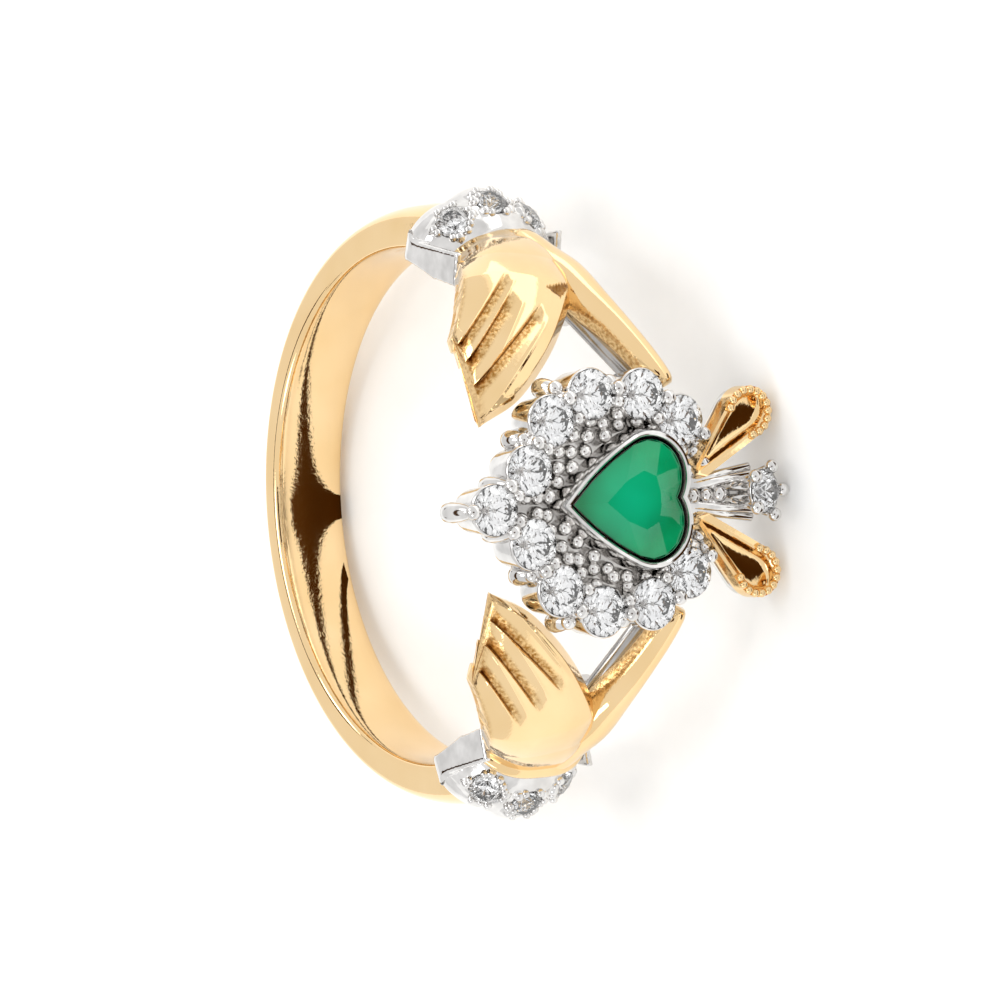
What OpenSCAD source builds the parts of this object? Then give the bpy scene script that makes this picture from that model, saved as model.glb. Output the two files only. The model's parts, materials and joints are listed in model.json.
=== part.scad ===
// Claddagh ring: two hands hold a crowned heart set in a halo of round stones.
// All lengths are millimetres. The ring is drawn about its finger axis, Z, with
// the head toward -Y, and is then tipped so that it lies on its side at rest.

/* [Finger hole] */
// Inside radius of the ring, US size 7
finger_r = 8.65; // [7:0.05:11]

/* [Band] */
// Width of the band along the finger
band_w = 2.7; // [2.2:0.1:3.2]
// Thickness of the rim at the back of the band
band_rim_t = 0.9; // [0.7:0.05:1.4]
// How far the outside circle sits toward the head, which thickens the shoulders
band_shift = 0.3; // [0:0.05:0.5]
// Rise of the domed outside above its rims
band_dome = 0.3; // [0.15:0.05:0.5]
// Rounding of the outside edges
band_edge_r = 0.3; // [0.1:0.05:0.4]
// Rounding of the edges of the finger hole
comfort_r = 0.15; // [0.05:0.05:0.25]

/* [Cuffs] */
// Angle from the head to the middle of each cuff
cuff_angle = 67.5; // [64:0.5:72]
// Radius of each of the three lobes
cuff_lobe_r = 1.05; // [0.95:0.01:1.15]
// Distance from lobe to lobe across the band
cuff_lobe_pitch = 1.5; // [1.4:0.05:1.6]
// Length of the side wall beside the little finger, in front of the lobes
cuff_wall_len = 2.9; // [2.5:0.05:3.2]
// Length of the side wall beside the thumb
thumb_wall_len = 1.4; // [1.2:0.05:1.7]
// Height of the side walls above the finger
cuff_wall_h = 1.3; // [1:0.05:1.5]
// How far the wrist sits back between the side walls
wrist_inset = 1.35; // [1.1:0.05:1.5]
// Height of the cuff's crest above the finger
cuff_h = 2.35; // [2.2:0.05:2.6]
// Radius of the domed top
cuff_dome_r = 2.8; // [2.7:0.1:3.6]
// Diameter of the cuff stones
cuff_stone_d = 1.2; // [1:0.05:1.3]

/* [Hands] */
// Height of the knuckles above the finger
knuckle_h = 2.25; // [1.9:0.05:2.6]
// Distance from the ring's middle plane to the fingertips
finger_reach = 4.9; // [4.4:0.1:5.2]
// Depth of the grooves between the fingers
groove_depth = 0.34; // [0.1:0.02:0.45]
// Width of the thumb
thumb_w = 1.5; // [1.1:0.05:1.8]
// Rise of the rolled lip on the lower hand's wrist
lip_rise = 0.25; // [0.1:0.05:0.35]
// Thickness of the plate that each cuff has under the palm
palm_plate_t = 0.42; // [0.35:0.01:0.5]

/* [Heart] */
// Width of the heart stone
heart_w = 3.9; // [3.4:0.05:4.4]
// Length of the heart stone from tip to lobes
heart_len = 4.25; // [3.8:0.05:4.8]
// Radius of its lobes
heart_lobe_r = 1.22; // [1.1:0.02:1.3]
// Radius of its slightly bowed sides
heart_side_r = 9; // [7:0.5:14]
// Thickness of the bezel wall
bezel_t = 0.3; // [0.2:0.02:0.4]
// Height of the bezel above the halo seats
bezel_rise = 0.5; // [0.4:0.05:0.8]

/* [Halo] */
// Diameter of the halo stones
halo_stone_d = 1.68; // [1.4:0.02:1.9]
// Clear height between the finger and the underside of the basket
basket_lift = 0.65; // [0.4:0.05:1]
// Height of the basket
basket_h = 1.6; // [1.5:0.05:2]
// Metal wall around each halo seat
cup_wall = 0.13; // [0.1:0.01:0.2]
// Height of the tapered cup under each halo stone
cup_h = 1.2; // [0.9:0.05:1.4]
// Radius of the shared claws
claw_r = 0.23; // [0.18:0.01:0.28]
// Radius of the round bar that braces each thumb
brace_r = 0.3; // [0.25:0.01:0.4]

/* [Crown] */
// Diameter of the crown stone
crown_stone_d = 1.45; // [1.2:0.05:1.6]
// Distance from the bezel to the centre of the crown stone
crown_reach = 2.85; // [2.6:0.05:3.1]
// Height of the crown stone above the halo stones
crown_rise = 0.6; // [0.4:0.05:0.9]
// Length of each leaf between the centres of its round ends
leaf_len = 2.6; // [2.3:0.05:2.9]
// Radius of the leaf's broad end
leaf_tip_r = 0.88; // [0.75:0.02:1]
// Radius of the leaf's narrow end
leaf_root_r = 0.3; // [0.2:0.05:0.4]
// Angle between each leaf and the middle of the crown
leaf_angle = 42; // [38:1:46]
// Thickness of the leaf's rim
leaf_t = 0.55; // [0.4:0.05:0.8]
// Radius of the beads along the leaf's rim
bead_r = 0.15; // [0.1:0.01:0.18]

/* [Fits] */
// Gap between two metals
metal_gap = 0.03; // [0.02:0.01:0.06]
// Gap around each stone
stone_gap = 0.02; // [0.01:0.01:0.04]

/* [Hidden] */
$fn = 48;
HALO_COUNT = 11;
CUFF_STONES = 3;

GOLD = "#E8C795";
WHITE_GOLD = "#C8C6C6";
CLEAR = "#F2F4F6";
GREEN = "#00A36B";

// Round brilliant: lengths as shares of the stone's diameter
TABLE_SHARE = 0.56;
CROWN_SHARE = 0.15;
GIRDLE_SHARE = 0.04;
PAVILION_SHARE = 0.43;

// The band's section
band_rim_r = finger_r + band_rim_t + band_shift;
dome_r = (pow(band_w / 2, 2) + pow(band_dome, 2)) / (2 * band_dome);
dome_mid = band_rim_r + band_dome - dome_r;
edge_z = band_w / 2 - band_edge_r;
edge_mid = dome_mid + sqrt(pow(dome_r - band_edge_r, 2) - pow(edge_z, 2));
dome_half_w = edge_z * dome_r / (dome_r - band_edge_r);

// Heights of the head, measured from the finger axis
basket_bottom = finger_r + basket_lift;
halo_level = basket_bottom + basket_h;
rim_level = halo_level + bezel_rise;
heart_level = rim_level - bezel_rise / 2;
crown_level = halo_level + crown_rise;

// The heart's outline: two lobes, two bowed sides and a point
heart_tip = heart_len / 2;
lobe_x = heart_w / 2 - heart_lobe_r;
lobe_y = heart_lobe_r - heart_len / 2;
tip_to_lobe = norm([lobe_x, heart_tip - lobe_y]);
side_turn = acos((pow(tip_to_lobe, 2) + pow(heart_side_r, 2) - pow(heart_side_r - heart_lobe_r, 2))
    / (2 * tip_to_lobe * heart_side_r));
side_dir = atan2(lobe_y - heart_tip, lobe_x) - side_turn;
side_mid = [0, heart_tip] + heart_side_r * [cos(side_dir), sin(side_dir)];
join_dir = atan2(lobe_y - side_mid[1], lobe_x - side_mid[0]);

// Halo seats from the heart's tip round one side: across, toward the tip,
// as shares of the distance from stone to stone
HALO_SEATS = [
    [0.00, 2.92],
    [0.71, 2.08],
    [1.64, 1.51],
    [2.10, 0.58],
    [2.03, -0.59],
    [1.48, -1.46],
];
SEAT_INNER = 2.03;
cup_r = halo_stone_d / 2 + cup_wall;
halo_pitch = max(halo_stone_d + stone_gap, (heart_w / 2 + bezel_t + cup_r) / SEAT_INNER);
// Distance of the claws from the middle of the stones that they hold
claw_ring_r = halo_stone_d / 2 + claw_r * 0.48;

// The crown
bezel_end = heart_len / 2 + bezel_t;
crown_y = -(bezel_end + crown_reach);
crown_lean = 21;
leaf_root_x = leaf_root_r * 3;
leaf_root_y = -(bezel_end + leaf_root_r * 2.4);
leaf_bottom = halo_level + crown_rise / 3 - leaf_t;
leaf_low_y = leaf_root_y - leaf_len * cos(leaf_angle) - leaf_tip_r;
plate_t = leaf_t;
plate_inset = leaf_tip_r * 0.23;
crown_claw_r = crown_stone_d * 0.117;

// At rest the ring lies on the two leaves and the rim at the back of the band
rest_run = leaf_bottom + edge_mid - band_shift;
rest_drop = -leaf_low_y - edge_z;
rest_tilt = atan2(rest_drop, rest_run) - asin(band_edge_r / norm([rest_run, rest_drop]));

// The cuff
cuff_top_r = finger_r + cuff_h;
cuff_lobe_x = cuff_lobe_r * 2 / 3;
cuff_front_x = cuff_lobe_x - cuff_wall_len;
wrist_x = cuff_front_x + wrist_inset;
cuff_half_w = cuff_lobe_pitch + cuff_lobe_r;
cuff_dome_x = cuff_lobe_r * 0.95;
cuff_stone_x = cuff_stone_d / 6;
cuff_stone_y = cuff_stone_d * 1.29;
cuff_bead_r = cuff_stone_d * 0.14;

// The hand runs from the cuff's side walls to the head
cheek_t = cuff_lobe_r * 0.19;
cheek_angle = cuff_angle - asin(-wrist_x / finger_r);
tip_angle = asin(1.33 * halo_pitch / (basket_bottom + basket_h / 2));
hand_span = cheek_angle - tip_angle;
palm_floor = palm_plate_t + 2.3 * metal_gap;
palm_plate_angle = 42;

// Columns: little finger's side, as shares of the hand's span and of its half
// width, which grows from the cuff's at the wrist to the reach at the tips;
// index finger's side, the same; crest height as a share of the knuckles';
// drop at the sides in the same shares. The first row is inside the cuff.
HAND_ROWS = [
    [1.12, 0.75, 1.12, -0.73, 0.66, 0.40],
    [1.00, 0.71, 1.00, -0.68, 0.70, 0.42],
    [0.93, 0.68, 0.90, -0.52, 0.80, 0.40],
    [0.82, 0.77, 0.73, -0.33, 0.94, 0.32],
    [0.69, 0.87, 0.56, -0.11, 1.00, 0.24],
    [0.58, 0.915, 0.35, 0.23, 0.95, 0.17],
    [0.50, 0.935, 0.16, 0.60, 0.86, 0.14],
    [0.455, 0.91, 0.02, 0.94, 0.76, 0.13],
];
// Shares of the hand's width where one finger meets the next, at knuckles and tips
KNUCKLE_BOUNDS = [0, 0.25, 0.43, 0.68, 1];
TIP_BOUNDS = [0, 0.21, 0.60, 0.90, 1];
HAND_STEPS = 22;
FINGER_STEPS = 5;
END_ROUND = 0.91;

// Columns: angle as a share of the hand's span, place along the finger as a
// share of the reach, middle height and half height as shares of the
// knuckles', half width as a share of the thumb's
THUMB_ROWS = [
    [1.05, -0.12, 0.48, 0.28, 0.42],
    [0.86, -0.15, 0.51, 0.30, 0.50],
    [0.72, -0.185, 0.57, 0.34, 0.55],
    [0.56, -0.24, 0.62, 0.33, 0.51],
    [0.41, -0.35, 0.66, 0.30, 0.40],
    [0.28, -0.445, 0.72, 0.27, 0.35],
    [0.15, -0.53, 0.79, 0.25, 0.30],
];
THUMB_STEPS = 12;
THUMB_SIDES = 14;

// Points at an angle from the head, a radius and a place along the finger
function polar(angle, r, z) = [r * sin(angle), -r * cos(angle), z];

// The same point on the other side of the middle
function flip(p) = [-p[0], p[1]];

function halo_name(k) = str("halo_stone_", k < 10 ? "0" : "", k);

// Smooth curve through the rows of a table, at s rows from its start
function along(rows, s, col) =
    let (n = len(rows), i = max(0, min(n - 2, floor(s))), f = s - i)
    let (b = rows[i][col], c = rows[i + 1][col])
    let (a = i > 0 ? rows[i - 1][col] : 2 * b - c)
    let (d = i < n - 2 ? rows[i + 2][col] : 2 * c - b)
    b + f * (c - a) / 2 + f * f * (a - 2.5 * b + 2 * c - d / 2)
    + f * f * f * (1.5 * (b - c) + (d - a) / 2);

// Faces of a tube of closed rings with n points each, n even: half of them over
// the top and half back underneath, each below its partner
function tube_faces(rings, n) =
    let (last = (rings - 1) * n)
    concat(
        [for (j = [0 : n / 2 - 2]) [j, j + 1, n - 2 - j, n - 1 - j]],
        [for (i = [0 : rings - 2], j = [0 : n - 1])
            [i * n + j, (i + 1) * n + j, (i + 1) * n + (j + 1) % n, i * n + (j + 1) % n]],
        [for (j = [0 : n / 2 - 2]) [last + n - 1 - j, last + n - 2 - j, last + j + 1, last + j]]
    );

module tube(rings) {
    polyhedron([for (ring = rings) each ring], tube_faces(len(rings), len(rings[0])));
}

// Tips the finished ring onto its side
module at_rest() {
    rotate([-rest_tilt, 0, 0]) children();
}

// The lower half of the ring mirrors the upper
module on_side(side) {
    if (side > 0) children();
    else mirror([1, 0, 0]) children();
}

// Children are drawn with Z outward from the finger and Y along it
module at_angle(angle) {
    rotate([0, 0, angle]) rotate([90, 0, 0]) children();
}

module finger_hole(r = finger_r) {
    cylinder(r = r, h = 3 * finger_r, center = true);
}

// A round brilliant with its girdle at the origin
module brilliant(d) {
    r = d / 2;
    table_r = r * TABLE_SHARE;
    crown = d * CROWN_SHARE;
    girdle = d * GIRDLE_SHARE;
    pavilion = d * PAVILION_SHARE;
    spot = function (turn, radius, z) [radius * cos(turn * 22.5), radius * sin(turn * 22.5), z];
    points = concat(
        [for (k = [0 : 7]) spot(2 * k, table_r, girdle / 2 + crown)],
        [for (k = [0 : 7]) spot(2 * k + 1, (r + table_r) / 2, girdle / 2 + crown * 0.58)],
        [for (k = [0 : 15]) spot(k, r, girdle / 2)],
        [for (k = [0 : 15]) spot(k, r, -girdle / 2)],
        [for (k = [0 : 7]) spot(2 * k + 1, r * 0.3, -girdle / 2 - pavilion * 0.76)],
        [[0, 0, -girdle / 2 - pavilion]]
    );
    table = 0;
    star = 8;
    top = 16;
    low = 32;
    half = 48;
    culet = 56;
    faces = concat(
        [[for (k = [7 : -1 : 0]) table + k]],
        [for (k = [0 : 7]) [table + k, table + (k + 1) % 8, star + k]],
        [for (k = [0 : 7]) [table + k, star + k, top + 2 * k]],
        [for (k = [0 : 7]) [table + k, top + 2 * k, star + (k + 7) % 8]],
        [for (k = [0 : 7]) [star + k, top + 2 * k + 1, top + 2 * k]],
        [for (k = [0 : 7]) [star + k, top + (2 * k + 2) % 16, top + 2 * k + 1]],
        [for (k = [0 : 15]) [top + k, top + (k + 1) % 16, low + (k + 1) % 16, low + k]],
        [for (k = [0 : 7]) [half + k, low + 2 * k, low + 2 * k + 1]],
        [for (k = [0 : 7]) [half + k, low + 2 * k + 1, low + (2 * k + 2) % 16]],
        [for (k = [0 : 7]) [half + k, culet, low + 2 * k]],
        [for (k = [0 : 7]) [half + (k + 7) % 8, low + 2 * k, culet]]
    );
    polyhedron(points, faces);
}

// The room that a round stone needs, with a light hole under it
module seat(d, drill_r, depth) {
    r = d / 2 + stone_gap;
    half_girdle = d * GIRDLE_SHARE / 2 + stone_gap;
    table_r = d / 2 * TABLE_SHARE + stone_gap;
    crown_top = half_girdle + d * CROWN_SHARE;
    culet = half_girdle + d * PAVILION_SHARE;
    rotate_extrude() polygon([
        [0, -culet], [r, -half_girdle], [r, half_girdle],
        [table_r, crown_top], [table_r, crown_top + r], [0, crown_top + r],
    ]);
    translate([0, 0, -depth]) cylinder(r = drill_r, h = depth);
}

// The band's half section: a domed bar with rounded outside edges
module band_section() {
    translate([edge_mid, edge_z]) circle(band_edge_r);
    translate([edge_mid, -edge_z]) circle(band_edge_r);
    translate([0, -band_w / 2]) square([edge_mid, band_w]);
    intersection() {
        translate([dome_mid, 0]) circle(dome_r);
        translate([dome_mid, -dome_half_w]) square([dome_r * 2, 2 * dome_half_w]);
    }
}

// Rounds the edges of the finger hole
module comfort_edges() {
    for (end = [0, 1])
        mirror([0, 0, end])
            rotate_extrude()
                difference() {
                    translate([finger_r - band_rim_t, band_w / 2 - comfort_r])
                        square([band_rim_t + comfort_r, band_rim_t]);
                    translate([finger_r + comfort_r, band_w / 2 - comfort_r]) circle(comfort_r);
                }
}

module band() {
    color(GOLD)
    difference() {
        translate([0, -band_shift, 0]) rotate_extrude($fn = 96) band_section();
        finger_hole($fn = 96);
        comfort_edges($fn = 96);
        head_side_wedge();
        for (side = [1, -1])
            on_side(side) at_angle(cuff_angle) cuff_block(metal_gap);
    }
}

// Everything on the head's side of the two cuffs
module head_side_wedge() {
    reach = 2 * finger_r;
    translate([0, 0, -band_w])
        linear_extrude(2 * band_w)
            polygon([
                [0, 0],
                [reach * sin(cuff_angle), -reach * cos(cuff_angle)],
                [reach, -reach], [-reach, -reach],
                [-reach * sin(cuff_angle), -reach * cos(cuff_angle)],
            ]);
}

// The three lobes and the straight part in front of them
module lobe_outline(grow) {
    for (k = [-1 : 1])
        translate([cuff_lobe_x, k * cuff_lobe_pitch]) circle(cuff_lobe_r + grow);
    translate([wrist_x - grow, -cuff_half_w - grow])
        square([cuff_wall_len - wrist_inset + grow, 2 * (cuff_half_w + grow)]);
}

// One of the two side walls that hold the wrist between them. Its foot rises
// from the finger toward the front, and so does its top edge.
module side_wall(side, len, grow) {
    front = cuff_lobe_x - len - grow;
    translate([0, side * (cuff_half_w - cheek_t / 2) + cheek_t / 2 + grow, 0])
        rotate([90, 0, 0])
            linear_extrude(cheek_t + 2 * grow)
                polygon([
                    [cuff_lobe_x, finger_r * 0.75], [cuff_lobe_x, finger_r + cuff_wall_h * 0.55 + grow],
                    [front + cheek_t, finger_r + cuff_wall_h + grow],
                    [front, finger_r + cuff_wall_h * 0.15 - grow],
                    [front + len * 0.45, finger_r - grow], [front + len * 0.45, finger_r * 0.75],
                ]);
}

module side_walls(grow) {
    side_wall(1, cuff_wall_len, grow);
    side_wall(-1, thumb_wall_len, grow);
}

module cuff_block(grow) {
    sink = finger_r * 0.25;
    translate([0, 0, finger_r - sink]) linear_extrude(cuff_h + sink + grow) lobe_outline(grow);
    side_walls(grow);
}

// Places one of a cuff's three stones on the domed top
module at_cuff_stone(k) {
    spot = [k == 2 ? cuff_stone_x : 0, (k - 2) * cuff_stone_y] - [cuff_dome_x, 0];
    at_cuff_dome()
        rotate([0, asin(norm(spot) / cuff_dome_r), atan2(spot[1], spot[0])])
            translate([0, 0, cuff_dome_r - cuff_stone_d * 0.05]) children();
}

module at_cuff_dome() {
    translate([cuff_dome_x, 0, cuff_top_r - cuff_dome_r]) children();
}

module cuff(side) {
    color(WHITE_GOLD)
    on_side(side)
    difference() {
        union() {
            palm_plate();
            at_angle(cuff_angle)
            difference() {
                union() {
                    intersection() {
                        cuff_block(0);
                        at_cuff_dome() cuff_dome();
                    }
                    side_walls(0);
                    cuff_beads();
                }
                for (k = [1 : CUFF_STONES])
                    at_cuff_stone(k) seat(cuff_stone_d, cuff_stone_d * 0.22, 1.6 * cuff_h);
            }
        }
        finger_hole($fn = 96);
    }
}

// A sphere over a straight shaft, so that the dome also reaches down to the finger
module cuff_dome() {
    sphere(cuff_dome_r, $fn = 96);
    translate([0, 0, -finger_r]) cylinder(r = cuff_dome_r, h = finger_r, $fn = 96);
}

// Small raised beads hold each cuff stone
module cuff_beads() {
    for (k = [1 : CUFF_STONES], turn = [45 : 90 : 315])
        at_cuff_stone(k)
            rotate([0, 0, turn])
                translate([cuff_stone_d / 2 + cuff_bead_r * 0.45, 0, 0])
                    sphere(cuff_bead_r, $fn = 20);
}

module cuff_stone(side, k) {
    color(CLEAR) on_side(side) at_angle(cuff_angle) at_cuff_stone(k) brilliant(cuff_stone_d);
}

// Where the fingers meet, at t from wrist to tips
function finger_bounds(t) =
    KNUCKLE_BOUNDS + (TIP_BOUNDS - KNUCKLE_BOUNDS) * max(0, min(1, 3.5 * t - 2.5));

// How far across its own finger a share u of the hand's width lies, from 0 to 1
function finger_phase(t, u) =
    let (b = finger_bounds(t), k = u < b[1] ? 0 : u < b[2] ? 1 : u < b[3] ? 2 : 3)
    (u - b[k]) / (b[k + 1] - b[k]);

// Angle and place along the finger of a point of the hand, t from wrist to tips
function hand_spot(t, u) =
    let (s = t * (len(HAND_ROWS) - 1))
    let (a = along(HAND_ROWS, s, 0), b = along(HAND_ROWS, s, 2))
    let (c = along(HAND_ROWS, s, 1), d = along(HAND_ROWS, s, 3))
    let (half_w = cuff_half_w + (finger_reach - cuff_half_w) * t)
    [tip_angle + hand_span * (a + (b - a) * u), half_w * (c + (d - c) * u)];

// Height of the hand's upper surface over the finger
function hand_height(t, u) =
    let (s = t * (len(HAND_ROWS) - 1))
    let (groove = groove_depth * max(0, min(1, (t - 0.5) / 0.25)))
    knuckle_h * (along(HAND_ROWS, s, 4) - along(HAND_ROWS, s, 5) * pow(abs(2 * u - 1), 3))
    - groove * (1 - pow(sin(180 * finger_phase(t, u)), 0.6));

// One closed ring of the hand: over the top, then back underneath
function hand_ring(t, lip) =
    let (end = t < END_ROUND ? 1 : sqrt(1 - 0.92 * pow((t - END_ROUND) / (1 - END_ROUND), 2)))
    let (mid_h = palm_floor + knuckle_h * (0.2 + 0.12 * t))
    let (roll = t > 0.1 && t < 0.24 ? lip * sin(180 * (t - 0.1) / 0.14) : 0)
    let (b = finger_bounds(t))
    let (steps = [for (f = [0 : 3], j = [0 : FINGER_STEPS - 1])
        b[f] + (b[f + 1] - b[f]) * j / FINGER_STEPS])
    let (over = function (u)
        let (tip = 0.03 * pow(t, 5) * sin(180 * finger_phase(t, u)))
        let (p = hand_spot(t + tip, u))
        polar(p[0], finger_r + mid_h + end * (hand_height(t, u) + roll - mid_h),
            p[1] * (1 + 0.3 * roll)))
    let (edge_h = hand_height(t, 0.999999) - knuckle_h * 0.155)
    let (under = function (u)
        let (p = hand_spot(t, u), h = palm_floor + (edge_h - palm_floor) * pow(abs(2 * u - 1), 4))
        polar(p[0], finger_r + mid_h + end * (h - mid_h), p[1] * (1 + 0.3 * roll)))
    concat(
        [for (u = steps) over(u)],
        [over(0.999999), under(1)],
        [for (k = [len(steps) - 1 : -1 : 0]) under(steps[k])]
    );

// One closed ring of the thumb
function thumb_ring(t) =
    let (s = t * (len(THUMB_ROWS) - 1))
    let (angle = tip_angle + hand_span * along(THUMB_ROWS, s, 0))
    let (z = finger_reach * along(THUMB_ROWS, s, 1))
    let (h = knuckle_h * along(THUMB_ROWS, s, 2), half_h = knuckle_h * along(THUMB_ROWS, s, 3))
    let (half_w = thumb_w * along(THUMB_ROWS, s, 4))
    [for (k = [0 : THUMB_SIDES - 1])
        let (turn = 360 * k / THUMB_SIDES)
        polar(angle, finger_r + h + half_h * sin(turn), z - half_w * cos(turn))];

module hand(side, lip) {
    color(GOLD)
    on_side(side)
    difference() {
        union() {
            tube([for (i = [HAND_STEPS : -1 : 0]) hand_ring(hand_share(i), lip)]);
            tube([for (i = [0 : THUMB_STEPS]) thumb_ring(i / THUMB_STEPS)]);
        }
        at_angle(cuff_angle) cuff_block(metal_gap);
        at_angle(0) basket_block(metal_gap);
        thumb_brace(metal_gap);
    }
}

// Rings crowd together where the fingertips round over
function hand_share(i) =
    let (last = 5, body = HAND_STEPS - last)
    i <= body ? END_ROUND * i / body : END_ROUND + (1 - END_ROUND) * sin(90 * (i - body) / last);

// Plate of the cuff that lines the finger hole under the palm
module palm_plate() {
    rotate([0, 0, palm_plate_angle - 90])
        rotate_extrude(angle = cuff_angle - palm_plate_angle, $fn = 96)
            translate([finger_r - palm_plate_t, -band_w / 2 + comfort_r])
                square([2 * palm_plate_t, band_w - 2 * comfort_r]);
}

// Round bar from the fork of thumb and finger to the basket
module thumb_brace(grow) {
    seat = seat_spot(6);
    level = basket_bottom + brace_r * 0.2;
    fork = polar(tip_angle + hand_span * 0.58, finger_r + knuckle_h * 0.42, -0.13 * finger_reach);
    base = [seat[0] + 0.35 * cup_r, -level, seat[1] - 0.35 * cup_r];
    rod(base, fork + (fork - base) * grow / norm(fork - base), brace_r + grow);
}

function seat_spot(k) =
    let (row = k > 6 ? k - 5 : k, p = HALO_SEATS[row - 1])
    [(k > 6 ? -1 : 1) * p[0] * halo_pitch, p[1] * halo_pitch];

// Seat centres in order round the halo, from the lower crown end to the upper
HALO_ORDER = [11, 10, 9, 8, 7, 1, 2, 3, 4, 5, 6];

// A claw stands between two seats, out by the given share of the claw's reach
function claw_spot(i, out) =
    let (a = seat_spot(HALO_ORDER[i]), b = seat_spot(HALO_ORDER[i + 1]))
    let (mid = (a + b) / 2, run = (b - a) / norm(b - a))
    let (reach = sqrt(max(0.06 * claw_ring_r, pow(claw_ring_r, 2) - pow(norm(b - a) / 2, 2))))
    mid + out * reach * [-run[1], run[0]];

// Claws at both open ends of the halo, beside the leaves
function end_claw_spot(side) =
    let (a = seat_spot(6), b = seat_spot(5))
    let (run = (a - b) / norm(a - b))
    let (p = a + claw_ring_r * run)
    [side * p[0], p[1]];

function tip_claw_spot() = seat_spot(1) + [0, claw_ring_r];

module halo_outline(grow) {
    for (k = [1 : HALO_COUNT])
        translate(seat_spot(k)) circle(cup_r + grow);
    for (i = [0 : HALO_COUNT - 2])
        translate(claw_spot(i, 1)) circle(claw_r + grow);
    polygon([for (i = [0 : HALO_COUNT - 1]) seat_spot(HALO_ORDER[i])]);
}

module basket_block(grow) {
    sink = finger_r * 0.3;
    translate([0, 0, finger_r - sink]) linear_extrude(sink + rim_level - finger_r) halo_outline(grow);
}

// The heart's outline, grown evenly all round
module heart_outline(grow) {
    corner = side_mid + (heart_side_r + heart_lobe_r) * [cos(join_dir), sin(join_dir)];
    for (side = [-1, 1])
        translate([side * lobe_x, lobe_y]) circle(heart_lobe_r + grow);
    intersection() {
        translate(side_mid) circle(heart_side_r + grow, $fn = 180);
        translate(flip(side_mid)) circle(heart_side_r + grow, $fn = 180);
        polygon([
            [0, heart_tip + heart_lobe_r], corner,
            [lobe_x, lobe_y], flip([lobe_x, lobe_y]),
            flip(corner),
        ]);
    }
}

// A point of the heart's edge: 0 at the tip, 1 where side meets lobe, 2 at the notch
function heart_half(s) =
    let (from_tip = atan2(heart_tip - side_mid[1], -side_mid[0]))
    let (turn = s < 1 ? from_tip + (join_dir - from_tip) * s
        : join_dir - (join_dir + acos(-lobe_x / heart_lobe_r)) * (s - 1))
    s < 1 ? side_mid + heart_side_r * [cos(turn), sin(turn)]
        : [lobe_x, lobe_y] + heart_lobe_r * [cos(turn), sin(turn)];

// Eighteen points round the heart, three along each side and six along each lobe
HEART_POINTS = 18;
HEART_SHARES = [0, 1 / 3, 2 / 3, 1, 7 / 6, 8 / 6, 9 / 6, 10 / 6, 11 / 6, 2];
function heart_edge(k) = k <= 9 ? heart_half(HEART_SHARES[k]) : flip(heart_half(HEART_SHARES[18 - k]));

module heart_stone() {
    table_size = 0.5;
    crown_h = heart_w * 0.097;
    girdle_h = heart_w * 0.041;
    keel_size = 0.12;
    pavilion_h = heart_w * 0.244;
    n = HEART_POINTS;
    ring = function (size, z) [for (k = [0 : n - 1])
        let (p = heart_edge(k)) [p[0] * size, p[1] * size, z]];
    points = concat(
        [for (k = [0 : 2 : n - 1]) ring(table_size, girdle_h / 2 + crown_h)[k]],
        ring(1, girdle_h / 2),
        ring(1, -girdle_h / 2),
        ring(keel_size, -girdle_h / 2 - pavilion_h)
    );
    half = n / 2;
    top = half;
    low = top + n;
    keel = low + n;
    faces = concat(
        [[for (k = [half - 1 : -1 : 0]) k]],
        [for (k = [0 : half - 1]) [k, (k + 1) % half, top + 2 * k + 1]],
        [for (k = [0 : half - 1]) [k, top + 2 * k + 1, top + 2 * k]],
        [for (k = [0 : half - 1]) [k, top + 2 * k, top + (2 * k + n - 1) % n]],
        [for (k = [0 : n - 1]) [top + k, top + (k + 1) % n, low + (k + 1) % n, low + k]],
        [for (k = [0 : n - 1]) [low + k, low + (k + 1) % n, keel + (k + 1) % n, keel + k]],
        [[for (k = [0 : n - 1]) keel + k]]
    );
    color(GREEN)
    at_angle(0)
        translate([0, 0, heart_level]) polyhedron(points, faces);
}

// A post with a round top, as on each claw and bead
module claw(spot, r, tip_r, foot, tip) {
    translate([spot[0], spot[1], foot]) cylinder(r = r, h = tip - foot);
    translate([spot[0], spot[1], tip]) sphere(tip_r, $fn = 24);
}

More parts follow.
